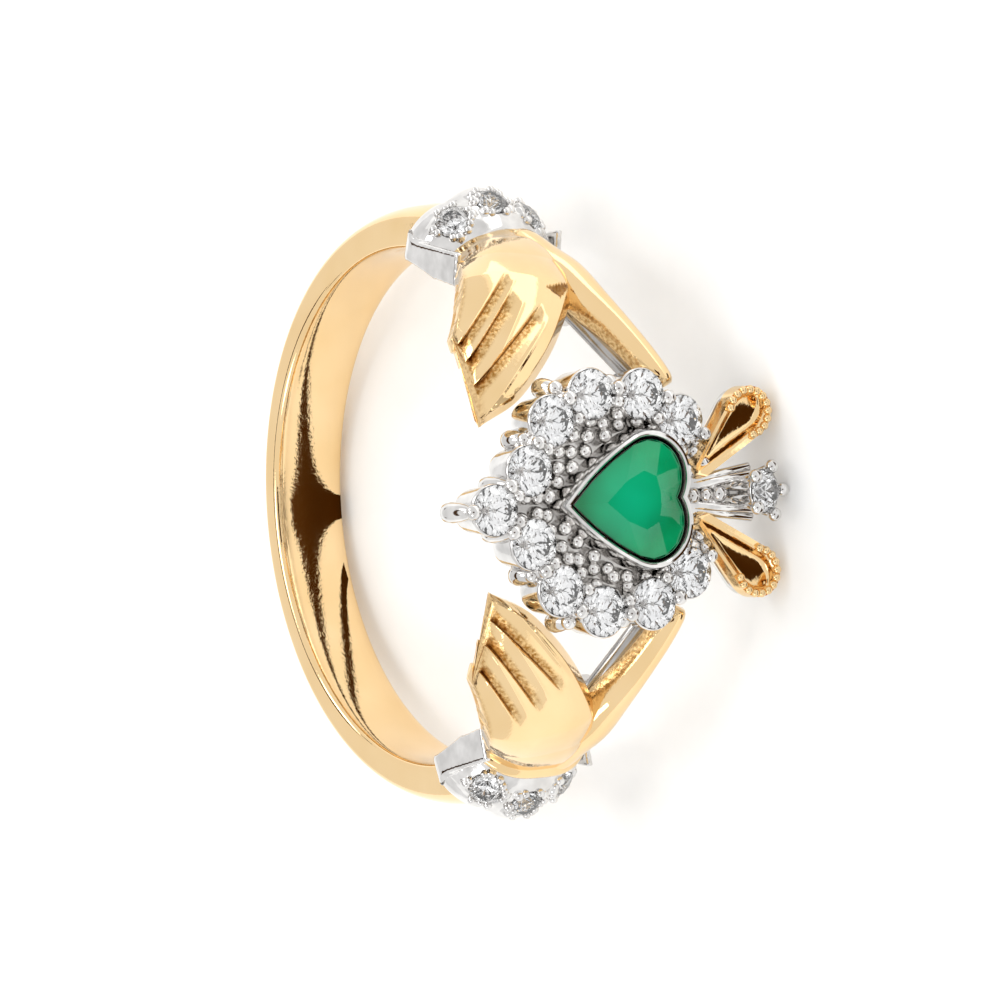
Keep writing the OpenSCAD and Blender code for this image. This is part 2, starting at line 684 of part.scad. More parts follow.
module basket() {
    foot = finger_r * 0.9;
    deck = halo_level - basket_h * 0.22;
    deck_t = basket_h * 0.19;
    bead_level = halo_level + halo_stone_d * 0.09;
    inner_bead_level = bead_level - claw_r * 0.4;
    bezel_grow = bezel_t + stone_gap;
    difference() {
        union() {
            translate([0, 0, foot]) linear_extrude(deck - foot)
                polygon([for (i = [0 : HALO_COUNT - 1]) seat_spot(HALO_ORDER[i])]);
            for (k = [1 : HALO_COUNT])
                translate(concat(seat_spot(k), halo_level - halo_stone_d * 0.06 - cup_h))
                    cylinder(r1 = cup_r * 0.7, r2 = cup_r, h = cup_h);
            for (i = [0 : HALO_COUNT - 2]) {
                claw(claw_spot(i, 1), claw_r, claw_r * 1.15, foot, bead_level);
                claw(claw_spot(i, -1.15), claw_r * 0.8, claw_r * 0.9, deck - deck_t, inner_bead_level);
            }
            for (side = [-1, 1])
                claw(end_claw_spot(side), claw_r, claw_r * 1.15, deck - deck_t, bead_level);
            claw(tip_claw_spot(), claw_r, claw_r * 1.15, foot, bead_level);
            translate([0, 0, deck - deck_t])
                linear_extrude(rim_level - deck + deck_t) heart_outline(bezel_grow);
            crown_gallery();
        }
        for (k = [1 : HALO_COUNT])
            translate(concat(seat_spot(k), halo_level))
                seat(halo_stone_d, halo_stone_d * 0.24, 2.5 * basket_h);
        translate([0, 0, heart_level - heart_w * 0.077]) linear_extrude(basket_h) heart_outline(stone_gap);
        translate([0, 0, foot * 0.9]) linear_extrude(3 * basket_h) heart_outline(-bezel_t);
        crown_stone_room();
    }
}

module at_crown_stone() {
    translate([0, crown_y, crown_level]) rotate([crown_lean, 0, 0]) children();
}

module crown_stone_room() {
    at_crown_stone() seat(crown_stone_d, crown_stone_d * 0.2, 2 * crown_stone_d);
}

// Plates under the leaves, ribs from the heart's notch, and the claws of the crown stone
module crown_gallery() {
    foot = leaf_bottom - metal_gap - plate_t;
    plate_top = leaf_bottom - metal_gap;
    notch = [0, -bezel_end + bezel_t * 0.7, plate_top];
    stone_r = crown_stone_d / 2;
    claw_x = stone_r + crown_claw_r * 0.55;
    stalk = leaf_root_r * 1.2;
    for (side = [-1, 1])
        translate([0, 0, foot]) linear_extrude(plate_t)
            at_leaf(side) {
                leaf_outline(-plate_inset);
                translate([-4 * leaf_root_r, -leaf_root_r / 2]) square([4.7 * leaf_root_r, leaf_root_r]);
            }
    translate([0, 0, foot]) linear_extrude(plate_t)
        polygon([
            [-stalk * 1.4, notch[1] + heart_lobe_r], [stalk * 1.4, notch[1] + heart_lobe_r],
            [stalk, crown_y], [-stalk, crown_y],
        ]);
    at_crown_stone() {
        translate([0, 0, -stone_r * 1.6])
            cylinder(r1 = stone_r * 0.5, r2 = stone_r * 1.07, h = stone_r * 1.53);
        for (turn = [-90, -20, 52, 128, 200])
            rotate([0, 0, turn])
                claw([claw_x, 0], crown_claw_r, crown_claw_r * 1.2, -stone_r, stone_r * 0.16);
    }
    for (side = [-1, 1])
        rod(notch + [side * stone_r / 3, 0, 0],
            [side * stone_r * 0.8, crown_y + stone_r / 3, crown_level - stone_r / 2], crown_claw_r * 1.2);
    for (share = [0.193, 0.561])
        translate([0, -bezel_end - crown_reach * share, plate_top + bead_r])
            sphere(leaf_root_r, $fn = 24);
}

// A round rod between two points
module rod(from, to, r) {
    run = to - from;
    translate(from)
        rotate([0, acos(run[2] / norm(run)), atan2(run[1], run[0])])
            cylinder(r = r, h = norm(run));
}

module head_setting() {
    color(WHITE_GOLD) {
        difference() {
            at_angle(0) basket();
            finger_hole(basket_bottom, $fn = 96);
        }
        for (side = [1, -1]) on_side(side) thumb_brace(0);
    }
}

// Children are drawn with X along the leaf from its root
module at_leaf(side) {
    translate([side * leaf_root_x, leaf_root_y])
        rotate(-90 + side * leaf_angle) children();
}

// The straight sides start a hair inside the round ends, which they would
// otherwise only touch
module leaf_outline(grow) {
    lean = asin((leaf_tip_r - leaf_root_r) / leaf_len);
    circle(leaf_root_r + grow);
    translate([leaf_len, 0]) circle(leaf_tip_r + grow);
    polygon([for (side = [1, -1], end = side > 0 ? [0, 1] : [1, 0])
        let (r = 0.995 * ((end == 0 ? leaf_root_r : leaf_tip_r) + grow))
        [end * leaf_len - r * sin(lean), side * r * cos(lean)]]);
}

// Half width of the leaf at x along its length
function leaf_half_w(x) =
    let (lean = asin((leaf_tip_r - leaf_root_r) / leaf_len))
    x < -leaf_root_r * sin(lean) ? sqrt(max(0, pow(leaf_root_r, 2) - x * x))
    : x > leaf_len - leaf_tip_r * sin(lean) ? sqrt(max(0, pow(leaf_tip_r, 2) - pow(x - leaf_len, 2)))
    : (leaf_root_r + x * sin(lean)) / cos(lean);

// One closed ring across the dished leaf
function leaf_ring(x) =
    let (w = leaf_half_w(x), steps = 8)
    concat(
        [for (j = [0 : steps])
            let (v = 2 * j / steps - 1)
            [x, w * v, leaf_t * (0.3 + 0.7 * pow(max(abs(v), abs(2 * x / leaf_len - 1) * 0.75), 2.5))]],
        [for (j = [steps : -1 : 0]) [x, w * (2 * j / steps - 1), 0]]
    );

module crown_leaf(side) {
    steps = 14;
    color(GOLD)
    at_angle(0)
        translate([0, 0, leaf_bottom])
            at_leaf(side) {
                tube([for (i = [steps : -1 : 0])
                    let (share = 0.5 - 0.5 * cos(8 + 164 * i / steps))
                    leaf_ring(-leaf_root_r + (leaf_len + leaf_root_r + leaf_tip_r) * share)]);
                leaf_beads();
            }
}

// Beads along the rim of the leaf's broad end
module leaf_beads() {
    beads = 12;
    spread = 230;
    for (k = [0 : beads - 1])
        let (turn = -spread / 2 + spread * k / (beads - 1))
        translate([leaf_len, 0, leaf_t]
            + (leaf_tip_r - bead_r) * [cos(turn), sin(turn), 0])
            sphere(bead_r, $fn = 20);
}

module halo_stone(k) {
    color(CLEAR) at_angle(0) translate(concat(seat_spot(k), halo_level)) brilliant(halo_stone_d);
}

module crown_stone() {
    color(CLEAR) at_angle(0) at_crown_stone() brilliant(crown_stone_d);
}

at_rest() {
    band();
    cuff(1);  // cuff_upper
    cuff(-1);  // cuff_lower
    hand(1, 0);  // hand_upper
    hand(-1, lip_rise);  // hand_lower
    head_setting();
    crown_leaf(1);  // crown_leaf_upper
    crown_leaf(-1);  // crown_leaf_lower
    heart_stone();
    crown_stone();
    for (k = [1 : HALO_COUNT])
        halo_stone(k);
    for (k = [1 : CUFF_STONES]) {
        cuff_stone(1, k);
        cuff_stone(-1, k);
    }
}
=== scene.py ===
# Claddagh ring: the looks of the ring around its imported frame.
# Pieces are modelled in millimetres about the finger axis, Z, with the head toward -Y,
# and are then tipped onto their side and scaled to metres, as the frame is.
import json
import math

import bpy
from mathutils import Matrix, Vector


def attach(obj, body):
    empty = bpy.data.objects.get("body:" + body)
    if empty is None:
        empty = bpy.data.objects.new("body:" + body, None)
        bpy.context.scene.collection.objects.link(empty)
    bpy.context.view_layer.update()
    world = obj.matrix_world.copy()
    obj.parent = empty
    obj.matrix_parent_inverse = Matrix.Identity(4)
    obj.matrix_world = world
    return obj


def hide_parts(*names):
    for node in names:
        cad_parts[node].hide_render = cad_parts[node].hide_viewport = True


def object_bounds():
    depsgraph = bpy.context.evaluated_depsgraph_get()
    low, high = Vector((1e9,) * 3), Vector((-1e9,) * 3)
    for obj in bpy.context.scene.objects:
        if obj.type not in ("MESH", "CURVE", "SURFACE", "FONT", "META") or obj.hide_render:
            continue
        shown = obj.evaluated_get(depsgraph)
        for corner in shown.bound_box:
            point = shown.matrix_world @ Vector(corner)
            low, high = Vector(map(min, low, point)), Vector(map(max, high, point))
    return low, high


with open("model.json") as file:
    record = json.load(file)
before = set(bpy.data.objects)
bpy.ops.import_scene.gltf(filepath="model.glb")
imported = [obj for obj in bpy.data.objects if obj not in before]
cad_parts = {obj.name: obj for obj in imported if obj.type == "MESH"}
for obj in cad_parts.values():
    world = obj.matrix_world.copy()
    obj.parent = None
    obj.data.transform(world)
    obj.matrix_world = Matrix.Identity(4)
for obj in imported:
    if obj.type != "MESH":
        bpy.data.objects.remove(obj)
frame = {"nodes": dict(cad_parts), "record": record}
CAD_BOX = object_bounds()

# The ring's own sizes, in millimetres
FINGER_R = 8.65
BAND_W = 2.7
BAND_RIM_R = 9.85
BAND_SHIFT = 0.3
BAND_DOME = 0.3
CUFF_ANGLE = 67.5
CUFF_TOP_R = 11.0
CUFF_DOME_R = 2.8
CUFF_LOBE_R = 1.05
CUFF_LOBE_X = 0.7
CUFF_LOBE_PITCH = 1.5
CUFF_HALF_W = 2.55
CUFF_DOME_X = 1.0
CUFF_STONE_X = 0.2
CUFF_STONE_Y = 1.55
CUFF_STONE_D = 1.2
CUFF_VOXEL = 0.05
CUFF_FULLER = 0.02
KNUCKLE_H = 2.25
FINGER_REACH = 4.9
FINGER_LINE_R = 10.4
KNUCKLE_LINE_R = 10.9
THUMB_W = 1.5
LIP_RISE = 0.25
PALM_FLOOR = 0.49
TIP_ANGLE = 12.94
CHEEK_ANGLE = 61.86
HAND_SPAN = CHEEK_ANGLE - TIP_ANGLE
HEART_W = 3.9
HEART_LEN = 4.25
HEART_LOBE_R = 1.22
HEART_SIDE_R = 9.0
BEZEL_T = 0.3
BEZEL_END = HEART_LEN / 2 + BEZEL_T
BASKET_BOTTOM = 9.3
HALO_LEVEL = 10.9
RIM_LEVEL = 11.4
HALO_STONE_D = 1.68
HALO_PITCH = 1.7
CLAW_GAP = 0.11
BRACE_R = 0.3
CROWN_LEVEL = 11.5
CROWN_LEAN = 21.0
CROWN_STONE_D = 1.45
CROWN_REACH = 2.85
LEAF_LEN = 2.6
LEAF_TIP_R = 0.88
LEAF_ROOT_R = 0.3
LEAF_ANGLE = 42.0
LEAF_T = 0.55
LEAF_ROOT_X = 0.9
LEAF_BOTTOM = HALO_LEVEL + 0.2 - LEAF_T
BEAD_R = 0.15

# How the ring lies: the mount's axis gives its tilt
AXIS = frame["record"]["mounts"][0]["axis"]
TILT = math.atan2(AXIS[1], AXIS[2])
REST = Matrix.Rotation(-TILT, 4, "X") @ Matrix.Scale(0.001, 4)
HEAD = Matrix.Rotation(math.radians(90), 4, "X")
MIRROR = Matrix.Diagonal((-1, 1, 1, 1))

# The photo's camera, in the ring's own millimetres
CAMERA_AT = (9.148, -295.54, 187.28)
CAMERA_RIGHT = (-0.0578, -0.5401, -0.8396)
CAMERA_UP = (0.998, -0.0093, -0.0627)
CAMERA_LENS = 373.2

# Halo seats from the heart's tip round one side: across, toward the tip, in stone pitches
HALO_SEATS = [(0.00, 2.92), (0.71, 2.08), (1.64, 1.51), (2.10, 0.58), (2.03, -0.59), (1.48, -1.46)]

# Rows from wrist to tips: little finger's side as shares of the hand's span and half width,
# index finger's side the same, crest and side drop as shares of the knuckles' height
HAND_ROWS = [
    (1.12, 0.75, 1.12, -0.73, 0.66, 0.40),
    (1.00, 0.71, 1.00, -0.68, 0.70, 0.42),
    (0.93, 0.68, 0.90, -0.52, 0.80, 0.40),
    (0.82, 0.77, 0.73, -0.33, 0.94, 0.32),
    (0.69, 0.87, 0.56, -0.11, 1.00, 0.24),
    (0.58, 0.915, 0.35, 0.23, 0.95, 0.17),
    (0.50, 0.935, 0.16, 0.60, 0.86, 0.14),
    (0.455, 0.91, 0.02, 0.94, 0.76, 0.13),
]

# Grooves between the fingers: angle and place where each starts and ends, depth, and
# width of its slope at both ends
GROOVES = {
    "upper": [
        (44.6, 2.08, 35.3, 3.96, 0.16, 0.40, 0.60),
        (40.6, 2.18, 29.6, 4.30, 0.24, 0.50, 0.80),
        (37.6, 1.27, 23.9, 4.42, 0.26, 0.50, 0.85),
    ],
    "lower": [
        (41.7, 2.77, 30.1, 4.74, 0.16, 0.40, 0.60),
        (38.9, 2.17, 20.8, 5.38, 0.24, 0.50, 0.80),
        (35.4, 1.40, 17.5, 5.19, 0.26, 0.50, 0.85),
    ],
}

# Rows from wrist to tip: angle and place as shares of span and reach, middle height and
# half height as shares of the knuckles', half width as a share of the thumb's
THUMB_ROWS = [
    (1.05, -0.12, 0.48, 0.28, 0.42),
    (0.86, -0.15, 0.51, 0.30, 0.50),
    (0.72, -0.185, 0.57, 0.34, 0.55),
    (0.56, -0.24, 0.62, 0.33, 0.51),
    (0.41, -0.35, 0.66, 0.30, 0.40),
    (0.28, -0.445, 0.72, 0.27, 0.35),
    (0.15, -0.53, 0.79, 0.25, 0.30),
]


# Small helpers

def linear(code):
    """An sRGB hex colour as linear RGBA."""
    parts = [int(code[i:i + 2], 16) / 255 for i in (1, 3, 5)]
    return [c / 12.92 if c <= 0.04045 else ((c + 0.055) / 1.055) ** 2.4 for c in parts] + [1.0]


def polar(angle, r, z):
    turn = math.radians(angle)
    return Vector((r * math.sin(turn), -r * math.cos(turn), z))


def along(rows, s, column):
    """Smooth curve through one column of a table, at s rows from its start."""
    i = max(0, min(len(rows) - 2, int(s)))
    f = s - i
    b, c = rows[i][column], rows[i + 1][column]
    a = rows[i - 1][column] if i > 0 else 2 * b - c
    d = rows[i + 2][column] if i < len(rows) - 2 else 2 * c - b
    return (b + f * (c - a) / 2 + f * f * (a - 2.5 * b + 2 * c - d / 2)
            + f ** 3 * (1.5 * (b - c) + (d - a) / 2))


def ease(low, high, x):
    t = max(0.0, min(1.0, (x - low) / (high - low)))
    return t * t * (3 - 2 * t)


def clear_selection():
    if bpy.context.object and bpy.context.object.mode != "OBJECT":
        bpy.ops.object.mode_set(mode="OBJECT")
    bpy.ops.object.select_all(action="DESELECT")


def select(*objects):
    clear_selection()
    for piece in objects:
        piece.select_set(True)
    bpy.context.view_layer.objects.active = objects[0]


def edit(piece):
    select(piece)
    bpy.ops.object.mode_set(mode="EDIT")
    bpy.ops.mesh.select_all(action="SELECT")


def close_up(piece, gap=0.002):
    """Merges the doubles of a closed mesh and turns its faces outward."""
    edit(piece)
    bpy.ops.mesh.remove_doubles(threshold=gap)
    bpy.ops.mesh.normals_make_consistent(inside=False)
    bpy.ops.object.mode_set(mode="OBJECT")


def copy_of(piece, place=None):
    twin = piece.copy()
    twin.data = piece.data.copy()
    bpy.context.collection.objects.link(twin)
    if place is not None:
        twin.matrix_world = place
    return twin


def join(name, pieces):
    select(*pieces)
    if len(pieces) > 1:
        bpy.ops.object.join()
    pieces[0].name = name
    pieces[0].data.name = name
    return pieces[0]


def applied(piece):
    select(piece)
    bpy.ops.object.transform_apply(location=True, rotation=True, scale=True)
    return piece


def smooth(piece, angle=35):
    select(piece)
    bpy.ops.object.shade_smooth_by_angle(angle=math.radians(angle))
    return piece


def finished(piece, slot, material, *nodes):
    """Tips a piece of the ring onto its side, and has it stand for the frame's nodes."""
    piece.matrix_world = REST @ piece.matrix_world
    applied(piece)
    piece.data.materials.clear()
    piece.data.materials.append(material)
    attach(piece, "root")
    if nodes:
        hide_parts(*nodes)
    return piece


def set_groove(piece, marks):
    """Keeps a share for each point, which the metals read as how rough it is and how dark with painted
    shade.
    """
    piece.data.attributes.new("groove", "FLOAT", "POINT").data.foreach_set("value", marks)


def shaped_ball(name, segments, rings, place, mark=None):
    """A ball drawn out along a piece: place(share along, share round) gives each point."""
    clear_selection()
    bpy.ops.mesh.primitive_uv_sphere_add(segments=segments, ring_count=rings, radius=1)
    ball = bpy.context.object
    ball.name = ball.data.name = name
    marks = []
    for v in ball.data.vertices:
        share = math.acos(max(-1, min(1, v.co.z))) / math.pi
        turn = (math.atan2(v.co.y, v.co.x) / (2 * math.pi)) % 1
        v.co = place(share, turn)
        marks.append(mark(share, turn) if mark else 0.0)
    if mark:
        set_groove(ball, marks)
    return ball


def shaped_grid(name, columns, rows, place, mark=None):
    """A grid wrapped round a piece: place(share round, share across) gives each point."""
    clear_selection()
    bpy.ops.mesh.primitive_grid_add(x_subdivisions=columns, y_subdivisions=rows, size=2)
    sheet = bpy.context.object
    sheet.name = sheet.data.name = name
    marks = []
    for v in sheet.data.vertices:
        around, across = (v.co.x + 1) / 2, (v.co.y + 1) / 2
        v.co = place(around, across)
        marks.append(mark(across) if mark else 0.0)
    if mark:
        set_groove(sheet, marks)
    close_up(sheet)
    return sheet


def with_painted_shade(piece, rule):
    """Marks painted shade, and roughness where the polish doesn't reach: rule gives a share for each point.
    """
    set_groove(piece, [rule(v.co) for v in piece.data.vertices])
    return piece


def turned(name, profile, sides=24):
    """A disc extruded and resized through rows of radius and height."""
    clear_selection()
    r, z = profile[0]
    bpy.ops.mesh.primitive_circle_add(vertices=sides, radius=r, location=(0, 0, z), fill_type="NGON")
    body = bpy.context.object
    body.name = body.data.name = name
    edit(body)
    for next_r, next_z in profile[1:]:
        bpy.ops.mesh.extrude_region_move(TRANSFORM_OT_translate={"value": (0, 0, next_z - z)})
        bpy.ops.transform.resize(value=(next_r / r, next_r / r, 1), center_override=(0, 0, next_z))
        r, z = next_r, next_z
    bpy.ops.mesh.select_all(action="SELECT")
    bpy.ops.mesh.normals_make_consistent(inside=False)
    bpy.ops.object.mode_set(mode="OBJECT")
    return applied(body)


def rod(name, start, end, r_start, r_end, sides=20):
    """A tapered round bar with rounded ends."""
    run = end - start
    length = run.length
    bar = turned(name, [(r_start * 0.5, -r_start * 0.4), (r_start * 0.9, -r_start * 0.15), (r_start, 0),
                        (r_end, length), (r_end * 0.9, length + r_end * 0.15),
                        (r_end * 0.5, length + r_end * 0.4)], sides)
    bar.matrix_world = Matrix.Translation(start) @ run.to_track_quat("Z", "Y").to_matrix().to_4x4()
    return applied(bar)


def moved(x, y, z):
    return Matrix.Translation((x, y, z))


# Materials

def add_node(tree, kind, settings=None, **inputs):
    """Adds a node with its settings, values and links."""
    node = tree.nodes.new(kind)
    for name, value in (settings or {}).items():
        setattr(node, name, value)
    for name, value in inputs.items():
        socket = node.inputs[int(name[1:])] if name[0] == "n" and name[1:].isdigit() else \
            node.inputs[name.replace("_", " ")]
        if isinstance(value, bpy.types.NodeSocket):
            tree.links.new(value, socket)
        else:
            socket.default_value = value
    return node


def new_material(name):
    material = bpy.data.materials.new(name)
    material.use_nodes = True
    tree = material.node_tree
    tree.nodes.clear()
    surface = tree.nodes.new("ShaderNodeBsdfPrincipled")
    output = tree.nodes.new("ShaderNodeOutputMaterial")
    tree.links.new(surface.outputs["BSDF"], output.inputs["Surface"])
    spot = tree.nodes.new("ShaderNodeTexCoord").outputs["Object"]
    return material, tree, surface, spot


def ramp(tree, fac, stops):
    """Colour stops of a ramp."""
    node = add_node(tree, "ShaderNodeValToRGB", Fac=fac)
    while len(node.color_ramp.elements) < len(stops):
        node.color_ramp.elements.new(0.5)
    for stop, (at, colour) in zip(node.color_ramp.elements, stops):
        stop.position = at
        stop.color = colour
    return node.outputs["Color"]


def polished_yellow_gold():
    """Yellow gold, cast and buffed: a clear warm mirror on the worn-bright tops, rougher where
    the buff can't reach, such as the grooves of the fingers, and darker there with painted shade."""
    material, tree, surface, spot = new_material("polished_yellow_gold")
    # Buffing marks about 0.05 mm apart, drawn at 0.12 mm so that they show
    buff = add_node(tree, "ShaderNodeTexNoise", Vector=spot, Scale=1 / 0.00012, Detail=3.0)
    # Slow waves of the cast, about 2.5 mm long
    wave = add_node(tree, "ShaderNodeTexNoise", Vector=spot, Scale=1 / 0.0025, Detail=2.0)
    groove = add_node(tree, "ShaderNodeAttribute", {"attribute_name": "groove"}).outputs["Fac"]
    tone = ramp(tree, wave.outputs["Fac"], [(0.3, linear("#F0CE98")), (0.7, linear("#F6D7A6"))])
    # Rough cast gold, darker than the polished tone: real roughness, with painted shade in its colour
    rough_shaded_gold = ramp(tree, buff.outputs["Fac"], [(0.35, linear("#A87838")), (0.62, linear("#EBC68C"))])
    to_rough_and_shaded = add_node(tree, "ShaderNodeMapRange", n0=groove, n2=0.5)
    # Painted shade: past a share of 0.55 the gold is painted dark brown, on the grooves' steep walls and the
    # small facet
    to_painted_shade = add_node(tree, "ShaderNodeMapRange", n0=groove, n1=0.55)
    cast = add_node(tree, "ShaderNodeMix", {"data_type": "RGBA"}, n0=to_rough_and_shaded.outputs[0],
                    n6=tone, n7=rough_shaded_gold)
    colour = add_node(tree, "ShaderNodeMix", {"data_type": "RGBA"}, n0=to_painted_shade.outputs[0],
                      n6=cast.outputs[2], n7=linear("#7A4A14"))
    tree.links.new(colour.outputs[2], surface.inputs["Base Color"])
    rough = add_node(tree, "ShaderNodeMapRange", n0=buff.outputs["Fac"], n3=0.03, n4=0.08)
    dull = add_node(tree, "ShaderNodeMix", {"data_type": "FLOAT"}, n0=to_rough_and_shaded.outputs[0],
                    n2=rough.outputs[0], n3=0.3)
    tree.links.new(dull.outputs[0], surface.inputs["Roughness"])
    height = add_node(tree, "ShaderNodeMath", {"operation": "MULTIPLY"}, n0=buff.outputs["Fac"], n1=groove)
    bump = add_node(tree, "ShaderNodeBump", Strength=0.6, Distance=0.00006, Height=height.outputs[0])
    fine = add_node(tree, "ShaderNodeBump", Strength=0.12, Distance=0.00002,
                    Height=buff.outputs["Fac"], Normal=bump.outputs[0])
    tree.links.new(fine.outputs[0], surface.inputs["Normal"])
    surface.inputs["Metallic"].default_value = 1.0
    return material


def rhodium_white_gold():
    """White gold plated with rhodium: a cold bright mirror, slightly rippled by casting,
    rougher in the pits that the polishing wheel can't reach, and darker there with painted shade."""
    material, tree, surface, spot = new_material("rhodium_white_gold")
    # Ripple of the cast about 0.7 mm long
    cast = add_node(tree, "ShaderNodeTexNoise", Vector=spot, Scale=1 / 0.0007, Detail=2.0)
    tone = ramp(tree, cast.outputs["Fac"], [(0.35, linear("#CFCDCB")), (0.65, linear("#E6E4E2"))])
    groove = add_node(tree, "ShaderNodeAttribute", {"attribute_name": "groove"}).outputs["Fac"]
    # Painted shade: dark brown grey where the groove share marks the bezel's groove, the deck's pits and the
    # braces
    colour = add_node(tree, "ShaderNodeMix", {"data_type": "RGBA"}, n0=groove, n6=tone, n7=linear("#544C44"))
    tree.links.new(colour.outputs[2], surface.inputs["Base Color"])
    rough = add_node(tree, "ShaderNodeMapRange", n0=cast.outputs["Fac"], n3=0.04, n4=0.12)
    dull = add_node(tree, "ShaderNodeMix", {"data_type": "FLOAT"}, n0=groove, n2=rough.outputs[0], n3=0.35)
    tree.links.new(dull.outputs[0], surface.inputs["Roughness"])
    bump = add_node(tree, "ShaderNodeBump", Strength=0.2, Distance=0.00004, Height=cast.outputs["Fac"])
    tree.links.new(bump.outputs[0], surface.inputs["Normal"])
    surface.inputs["Metallic"].default_value = 1.0
    return material


def cubic_zirconia():
    """Clear cubic zirconia, faceted and polished: bright and dark flashes from facet to facet."""
    material, tree, surface, spot = new_material("cubic_zirconia")
    # Faint grey where two stones differ, about 1.5 mm apart
    cloud = add_node(tree, "ShaderNodeTexNoise", Vector=spot, Scale=1 / 0.0015)
    tone = ramp(tree, cloud.outputs["Fac"], [(0.3, linear("#F4F5F7")), (0.7, linear("#FFFFFF"))])
    tree.links.new(tone, surface.inputs["Base Color"])
    surface.inputs["Roughness"].default_value = 0.0
    surface.inputs["IOR"].default_value = 2.15
    surface.inputs["Transmission Weight"].default_value = 1.0
    return material


def green_agate():
    """Green agate, cut and polished: deep green, with a painted lighter middle, as if light came
    back through the thickest part of the stone."""
    material, tree, surface, spot = new_material("green_agate")
    # Cloudy banding of the agate, about 2 mm across
    cloud = add_node(tree, "ShaderNodeTexNoise", Vector=spot, Scale=1 / 0.002, Detail=2.0)
    deep = ramp(tree, cloud.outputs["Fac"], [(0.3, linear("#007644")), (0.7, linear("#009E64"))])
    middle = REST @ HEAD @ Vector((0.0, 0.1, RIM_LEVEL - 0.3))
    away = add_node(tree, "ShaderNodeVectorMath", {"operation": "DISTANCE"}, n0=spot, n1=middle)
    # The painted glow fades over 1.5 mm
    fade = add_node(tree, "ShaderNodeMapRange", n0=away.outputs["Value"], n1=0.0003, n2=0.0018,
                    n3=0.6, n4=0.0)
    tone = add_node(tree, "ShaderNodeMix", {"data_type": "RGBA"}, n0=fade.outputs[0], n6=deep,
                    n7=linear("#0CC492"))
    tree.links.new(tone.outputs[2], surface.inputs["Base Color"])
    surface.inputs["Roughness"].default_value = 0.04
    surface.inputs["IOR"].default_value = 1.54
    surface.inputs["Specular IOR Level"].default_value = 0.45
    return material


def white_paper():
    """Matt white paper sweep under the ring."""
    material, tree, surface, spot = new_material("white_paper")
    # Fibre of the paper, about 1.5 mm
    fibre = add_node(tree, "ShaderNodeTexNoise", Vector=spot, Scale=1 / 0.0015, Detail=4.0)
    tone = ramp(tree, fibre.outputs["Fac"], [(0.3, linear("#FAFAF9")), (0.7, linear("#FEFEFD"))])
    tree.links.new(tone, surface.inputs["Base Color"])
    surface.inputs["Roughness"].default_value = 0.9
    return material


def dark_card():
    """Dark brown card, slightly mottled."""
    material, tree, surface, spot = new_material("dark_card")
    # Mottling of the card, about 6 mm
    mottle = add_node(tree, "ShaderNodeTexNoise", Vector=spot, Scale=1 / 0.006)
    tone = ramp(tree, mottle.outputs["Fac"], [(0.3, linear("#3A2208")), (0.7, linear("#4A2E10"))])
    tree.links.new(tone, surface.inputs["Base Color"])
    surface.inputs["Roughness"].default_value = 1.0
    surface.inputs["Specular IOR Level"].default_value = 0.0
    return material


def bright_card():
    """White card, as bright as one that a lamp shines on."""
    material, tree, surface, spot = new_material("bright_card")
    # Fall of the lamp's light over the card, about 60 mm
    fall = add_node(tree, "ShaderNodeTexNoise", Vector=spot, Scale=1 / 0.06)
    tone = ramp(tree, fall.outputs["Fac"], [(0.2, linear("#F4F4F2")), (0.8, linear("#FFFFFF"))])
    tree.links.new(tone, surface.inputs["Emission Color"])
    surface.inputs["Emission Strength"].default_value = 2.0
    surface.inputs["Base Color"].default_value = linear("#202020")
    return material


GOLD = polished_yellow_gold()
WHITE_GOLD = rhodium_white_gold()
CLEAR = cubic_zirconia()
GREEN = green_agate()


# The band

def band_section(share):
    """A point of the band's section: radius and height, rounded at its corners."""
    turn = 2 * math.pi * share
    c, s = math.cos(turn), math.sin(turn)
    x = math.copysign(abs(c) ** 0.36, c)
    z = math.copysign(abs(s) ** 0.36, s)
    top = BAND_RIM_R + BAND_DOME * (1 - z * z)
    return FINGER_R + (top - FINGER_R) * (x + 1) / 2, z * BAND_W / 2


def band():
    start = CUFF_ANGLE + 4
    clear_selection()
    bpy.ops.mesh.primitive_circle_add(vertices=72, radius=1, fill_type="NGON")
    hoop = bpy.context.object
    for v in hoop.data.vertices:
        r, z = band_section(math.atan2(v.co.y, v.co.x) / (2 * math.pi))
        v.co = polar(start, r, z)
    edit(hoop)
    bpy.ops.mesh.spin(steps=144, angle=-math.radians(360 - 2 * start), center=(0, 0, 0), axis=(0, 0, 1))
    bpy.ops.object.mode_set(mode="OBJECT")
    close_up(hoop)
    for v in hoop.data.vertices:
        out = (Vector((v.co.x, v.co.y)).length - FINGER_R) / (BAND_RIM_R - FINGER_R)
        v.co.y -= BAND_SHIFT * out
    smooth(hoop, 40)
    hoop.name = hoop.data.name = "ring_band"
    finished(hoop, "yellow_gold", GOLD, "band")


# The hands

# The share of a turn round the hand that goes over its back, and the last place across it
OVER_SHARE = 0.74
LAST_U = 0.9999

# The crease over the knuckles, in degrees and degrees a millimetre, and the facet's place
CREASE_ANGLE = 41.6
CREASE_LEAN = 1.21
FACET_ANGLE = 41.63
FACET_Z = 0.25


def hand_spot(t, u):
    s = t * (len(HAND_ROWS) - 1)
    a, b = along(HAND_ROWS, s, 0), along(HAND_ROWS, s, 2)
    c, d = along(HAND_ROWS, s, 1), along(HAND_ROWS, s, 3)
    half_w = CUFF_HALF_W + (FINGER_REACH - CUFF_HALF_W) * t
    return TIP_ANGLE + HAND_SPAN * (a + (b - a) * u), half_w * (c + (d - c) * u)


